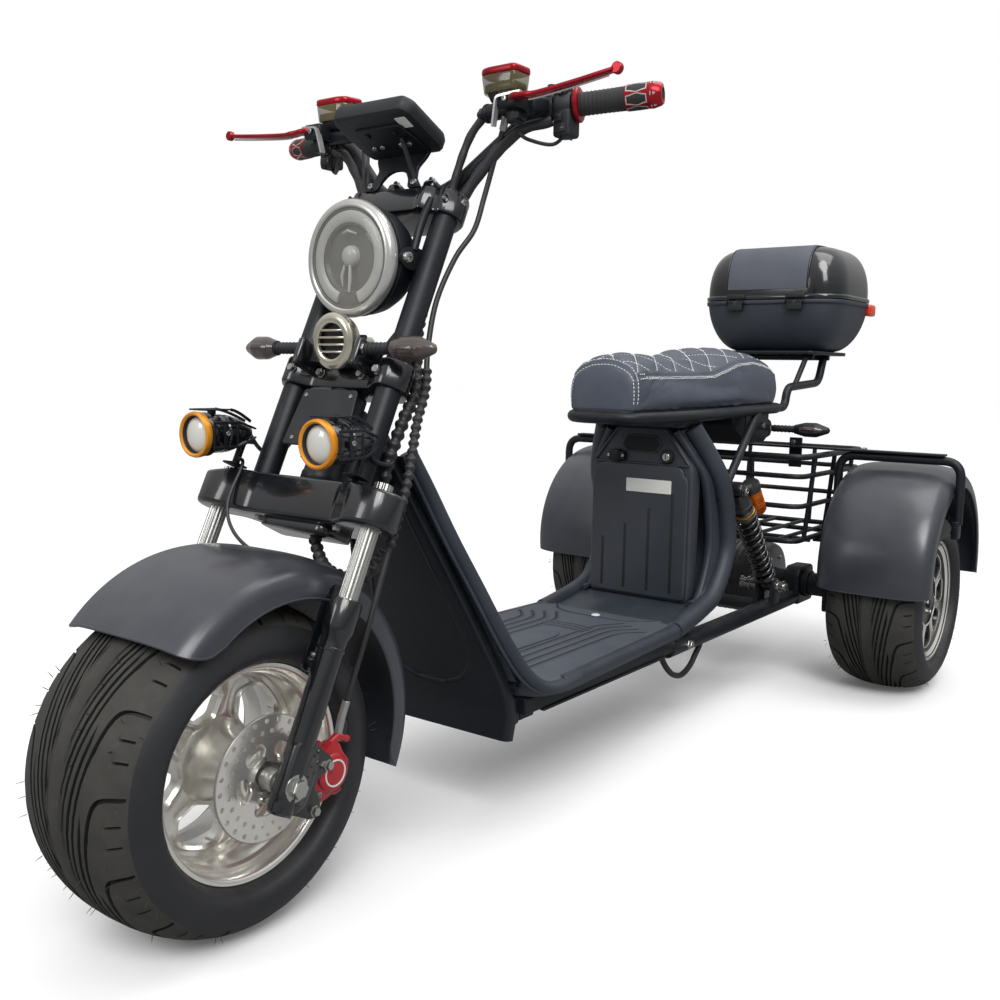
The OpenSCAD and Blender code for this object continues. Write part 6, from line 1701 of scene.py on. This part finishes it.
# Hinges: knuckles with narrow ribs on the base, a leaf on the lid
knuckles, leaves = [], []
for middle in (-78, 78):
    leaves.append(softBox((-826, middle - 24, 914.5), (-819, middle + 24, 926), 2))
    knuckles.append(softBox((-826, middle - 20, 884), (-814.5, middle + 20, 908), 3))
    knuckles += [softBox((-822, middle + k - 1.5, 902), (-812.5, middle + k + 1.5, 911), 1, 3)
        for k in (-22, -15, -8, 8, 15, 22)]
addPiece("case_lid_shell", "lid", [(caseShell(lidRows, -caseLook["wall"]), "caseGloss"), (pad, "casePad"),
    (join(*seamLines), "blackAlloy"), (join(*leaves), "mattBlack")], ["case_lid"])
addPiece("case_base_shell", "frame",
    [(caseShell(baseRows, caseLook["wall"]), "caseMatt"), (join(*knuckles), "mattBlack")], ["case_base"])
reflect = [softBox((-1126, middle - 32, 872), (-1108, middle + 32, 908), 5) for middle in (-112, 112)]
side = softBox((-1100, 174, 880), (-1056, 192, 910), 6)
addPiece("case_reflector_lenses", "frame", [(join(*reflect, bothSides(side)), "reflector")],
    ["case_reflectors"])
rackPlate = plate(cornered([(1738, -132), (1738, 132), (1985, 132), (1985, -132)], 26, 6), 776, 784.8, 2,
    at)
rackTube = tube(rounded([at(b, 104, z)
    for b, z in ((1590, 646), (1632, 646), (1645, 694), (1851, 706), (1884, 778))], 26, 6), 10, 18)
rackBrace = tube(places((1690, 104, 698), (1768, 104, 779)), 6.6, 14)
rackBars = [tube(places((b, -118, 770), (b, 118, 770)), 7, 14) for b in (1770, 1880)]
addPiece("case_rack_tubes", "frame",
    [(join(rackPlate, bothSides(rackTube, rackBrace), *rackBars), "satinBlack")], ["case_rack"])
print("case made")

cableLook = {"hoseR": 4.0, "leadR": 6.0, "loomR": 8.5, "thinR": 3.2}


# Loom: a tube whose radius swells and shrinks with a sine, like a spiral wrap
def loom(points, radius, pitch, swell):
    path = smoothPath(points, 14)
    run = lengthsAlong(path)
    even = np.arange(0, run[-1], pitch / 6)
    return tube(pointsAlong(path, run, even), radius + swell * np.sin(even * full / pitch), 12)


hosePoints = [(-86, 127, 66.5), (-76, 132, 96), (-66, 140, 140), (-56, 148, 190), (-50, 151, 240),
    (-46, 152, 290), (-44, 151, 340), (-44, 148, 400), (-44, 140, 450), (-44, 130, 500), (-44, 126, 550),
    (-36, 114, 610), (-30, 108, 680), (-34, 113, 750), (-42, 124, 800), (-38, 127, 850), (-28, 134, 890),
    (-14, 145, 920), (0, 157, 938), (12, 166, 946)]
hosePath = smoothPath(forkPlaces(*hosePoints), 6)
hose = tube(hosePath, cableLook["hoseR"], 12)
ferrules = [tube(hosePath[:10], 5.4, 14), tube(hosePath[-8:], 5.4, 14)]
wrap = loom(hosePath[34:64], 6.4, 12, 1.4)
hosePiece = addPiece("front_brake_hose", "steering", [(hose, "cable")], ["brake_hose"])
hoseFittings = addPiece("brake_hose_fittings", "steering", [(wrap, "cable"), (join(*ferrules), "steel")],
    [])


# Cord: works out a path's length in metres from millimetres and keeps nothing; the tube along the path has
# its far end going back into the object
def declareCord(path):
    lengthsAlong(path)[-1] * 0.001


declareCord(hosePath)
leadPoints = [(980.3, 108, 180), (998, 108, 178), (1014, 109, 170), (1030, 111, 154), (1048, 114, 130),
    (1068, 118, 112), (1092, 122, 104), (1118, 122, 106), (1142, 123, 118), (1160, 124, 136),
    (1169, 126, 148), (1173, 128, 159)]
leadPath = smoothPath(places(*leadPoints), 8)
leadPiece = addPiece("motor_lead_cable", "frame", [(tube(leadPath, cableLook["leadR"], 14), "cable")],
    ["motor_lead"])
declareCord(leadPath)

# Looms down from the bar to the head, one beaded run beside the left tube, and the thin wires of the lamps
barLooms = [loom([onBar(214) + [6, 0, -18], at(420, 168, 1058), at(404, 122, 1010), at(388, 92, 962),
    at(372, 72, 920), at(352, 62, 872), at(338, 58, 820)], 8.5, 40, 0.5),
    loom(places((404, 124, 1084), (396, 104, 1056), (384, 92, 1010), (374, 84, 960), (366, 76, 900)), 6, 30,
    0.3)]
lowLoom = loom(forkPlaces((-46, 10, 318), (-44, 34, 292), (-40, 62, 276), (-44, 96, 272), (-52, 124, 284),
    (-54, 134, 318)), 8, 14, 1.5)
lowWire = tube(smoothPath([spotAt * [1, -1, 1] + [-60, 20, -34], onFork(24, -104, 392),
    onFork(30, -98, 330), onFork(20, -70, 290), onFork(-4, -20, 270), onFork(-30, 30, 276),
    onFork(-40, 60, 280)], 8), 2.6, 8)
beadPoints = [(-40, 74, 790), (-42, 72, 700), (-46, 80, 620), (-54, 100, 556), (-42, 107, 505),
    (-40, 106, 455), (-48, 102, 410), (-72, 98, 372)]
beads = loom(forkPlaces(*beadPoints), cableLook["loomR"], 15, 1.6)
lampWires = [tube(smoothPath([spotAt + [-94, 0, 2], spotAt + [-112, -8, -26], onFork(-40, 112, 436),
    onFork(-46, 96, 470)], 8), 3, 8),
    tube(smoothPath(places((252, 60, 748), (262, 56, 740), (276, 52, 752), (300, 48, 770)), 8),
    cableLook["thinR"], 8),
    tube(smoothPath(places((344, 24, 868), (352, 20, 852), (356, 30, 832), (350, 52, 812)), 8), 5, 10)]
displayWire = tube(smoothPath(forkPlaces((60, 30, 894), (48, 34, 880), (26, 36, 862), (10, 44, 842),
    (-6, 56, 828)), 8), 3.4, 8)
switchWire = tube(smoothPath([boxAt + [4, 6, -38], boxAt + [10, -14, -52], at(420, 190, 1046),
    at(414, 176, 1056)], 8), 2.8, 8)
rightLooms = mirrored(join(*barLooms))
addPiece("steering_looms", "steering", [(join(*barLooms, rightLooms, beads, lowLoom, lowWire,
    bothSides(lampWires[0]), *lampWires[1:], displayWire, bothSides(switchWire)), "cable")], [])
print("cables made")

# Stage: pale floor, white surroundings, soft lights and the photo's camera
stageLook = {"floorHalf": 40000, "horizon": 0.22, "zenith": 0.95, "sun": 1.3, "sunAngle": 28,
    "bounce": colour(150, 150, 150), "lift": 0.06, "cameraAt": (1.74976, 1.08664, 0.72159),
    "azimuth": 126.51, "pitch": 6.96, "roll": 1.1, "lens": 38.18}


# Floor: white with its shadow to the camera, a grey in reflections and to the light that bounces off it
def floorFinish():
    s = Shade("studio_floor")
    grain = s.noise(6.0).ramp(0.3, 0.7)
    s.fill(s.surface, {"Base Color": s.mix(grain, colour(253, 253, 253), colour(250, 250, 250)),
        "Roughness": grain * 0.1 + 0.8, "Emission Color": colour(255, 255, 255),
        "Emission Strength": stageLook["lift"]})
    dim = s.node("ShaderNodeBsdfPrincipled", None, {"Base Color": stageLook["bounce"], "Roughness": 0.9})
    ray = s.node("ShaderNodeLightPath")
    seen = Value(s.tree, ray.outputs["Is Camera Ray"]) + Value(s.tree, ray.outputs["Is Transmission Ray"])
    mixed = s.node("ShaderNodeMixShader", None,
        {0: seen.ramp(0, 1), 1: dim.outputs[0], 2: s.surface.outputs[0]})
    end = [n for n in s.tree.nodes if n.type == "OUTPUT_MATERIAL"][0]
    s.tree.links.new(mixed.outputs[0], end.inputs["Surface"])
    return s.material


side = stageLook["floorHalf"]
floor = addPiece("studio_floor", "frame",
    [(grid(np.array([[[-side, -side, 0], [side, -side, 0]], [[-side, side, 0], [side, side, 0]]], float)),
    floorFinish())])


# Soft light: a square lamp at a point, aimed at another, its power in watts
def softLight(name, point, target, size, power, kind="AREA"):
    lamp = bpy.data.lights.new(name, kind)
    lamp.energy = power
    if kind == "AREA":
        lamp.shape, lamp.size = "SQUARE", size
    else:
        lamp.angle = math.radians(size)
    obj = bpy.data.objects.new(name, lamp)
    bpy.context.scene.collection.objects.link(obj)
    obj.location = point
    obj.rotation_euler = (Vector(target) - Vector(point)).to_track_quat("-Z", "Y").to_euler()


softLight("sun_light", (3.0, 2.2, 4.2), (0, 0, 0.4), stageLook["sunAngle"], stageLook["sun"], "SUN")
softLight("key_light", (2.2, 2.6, 2.8), (0.2, 0, 0.5), 1.2, 26)
softLight("front_light", (3.4, -1.2, 2.0), (0.3, 0, 0.5), 1.0, 14)
softLight("top_light", (-0.6, 0.8, 3.0), (-0.2, 0, 0.5), 1.6, 22)

# White to the camera; to the surfaces a sky that darkens from the zenith to the horizon
world = bpy.data.worlds.new("studio")
bpy.context.scene.world = world
world.use_nodes = True
tree = world.node_tree
tree.nodes.clear()
path, where, parts, sky, seen, lit, choose, out = (tree.nodes.new("ShaderNode" + kind)
    for kind in ("LightPath", "TexCoord", "SeparateXYZ", "MapRange", "Background", "Background",
    "MixShader", "OutputWorld"))
tree.links.new(where.outputs["Generated"], parts.inputs[0])
tree.links.new(parts.outputs[2], sky.inputs["Value"])
sky.inputs["To Min"].default_value = stageLook["horizon"]
sky.inputs["To Max"].default_value = stageLook["zenith"]
for light in (seen, lit):
    light.inputs["Color"].default_value = (1, 1, 1, 1)
seen.inputs["Strength"].default_value = 1.0
tree.links.new(sky.outputs["Result"], lit.inputs["Strength"])
tree.links.new(path.outputs["Is Camera Ray"], choose.inputs[0])
tree.links.new(lit.outputs[0], choose.inputs[1])
tree.links.new(seen.outputs[0], choose.inputs[2])
tree.links.new(choose.outputs[0], out.inputs["Surface"])

# Camera from its azimuth, pitch and roll
turn, pitch, roll = (math.radians(stageLook[k]) for k in ("azimuth", "pitch", "roll"))
ahead = Vector((-math.sin(turn) * math.cos(pitch), math.cos(turn) * math.cos(pitch), -math.sin(pitch)))
right = ahead.cross(Vector(upZ)).normalized()
above = right.cross(ahead)
c, s = math.cos(roll), math.sin(roll)
right, above = c * right + s * above, c * above - s * right
lensData = bpy.data.cameras.new("photo_camera")
lensData.lens, lensData.sensor_width = stageLook["lens"], 36
lensData.clip_end = 200
camera = bpy.data.objects.new("photo_camera", lensData)
bpy.context.scene.collection.objects.link(camera)
columns = (right, above, -ahead, stageLook["cameraAt"])
camera.matrix_world = Matrix([[c[k] for c in columns] for k in range(3)] + [[0, 0, 0, 1]])
bpy.context.scene.camera = camera
bpy.context.scene.view_settings.view_transform = "Standard"

print("triangles:", sum(triangleCount.values()), "most in one piece:", max(triangleCount.values()))
print("scene finished")
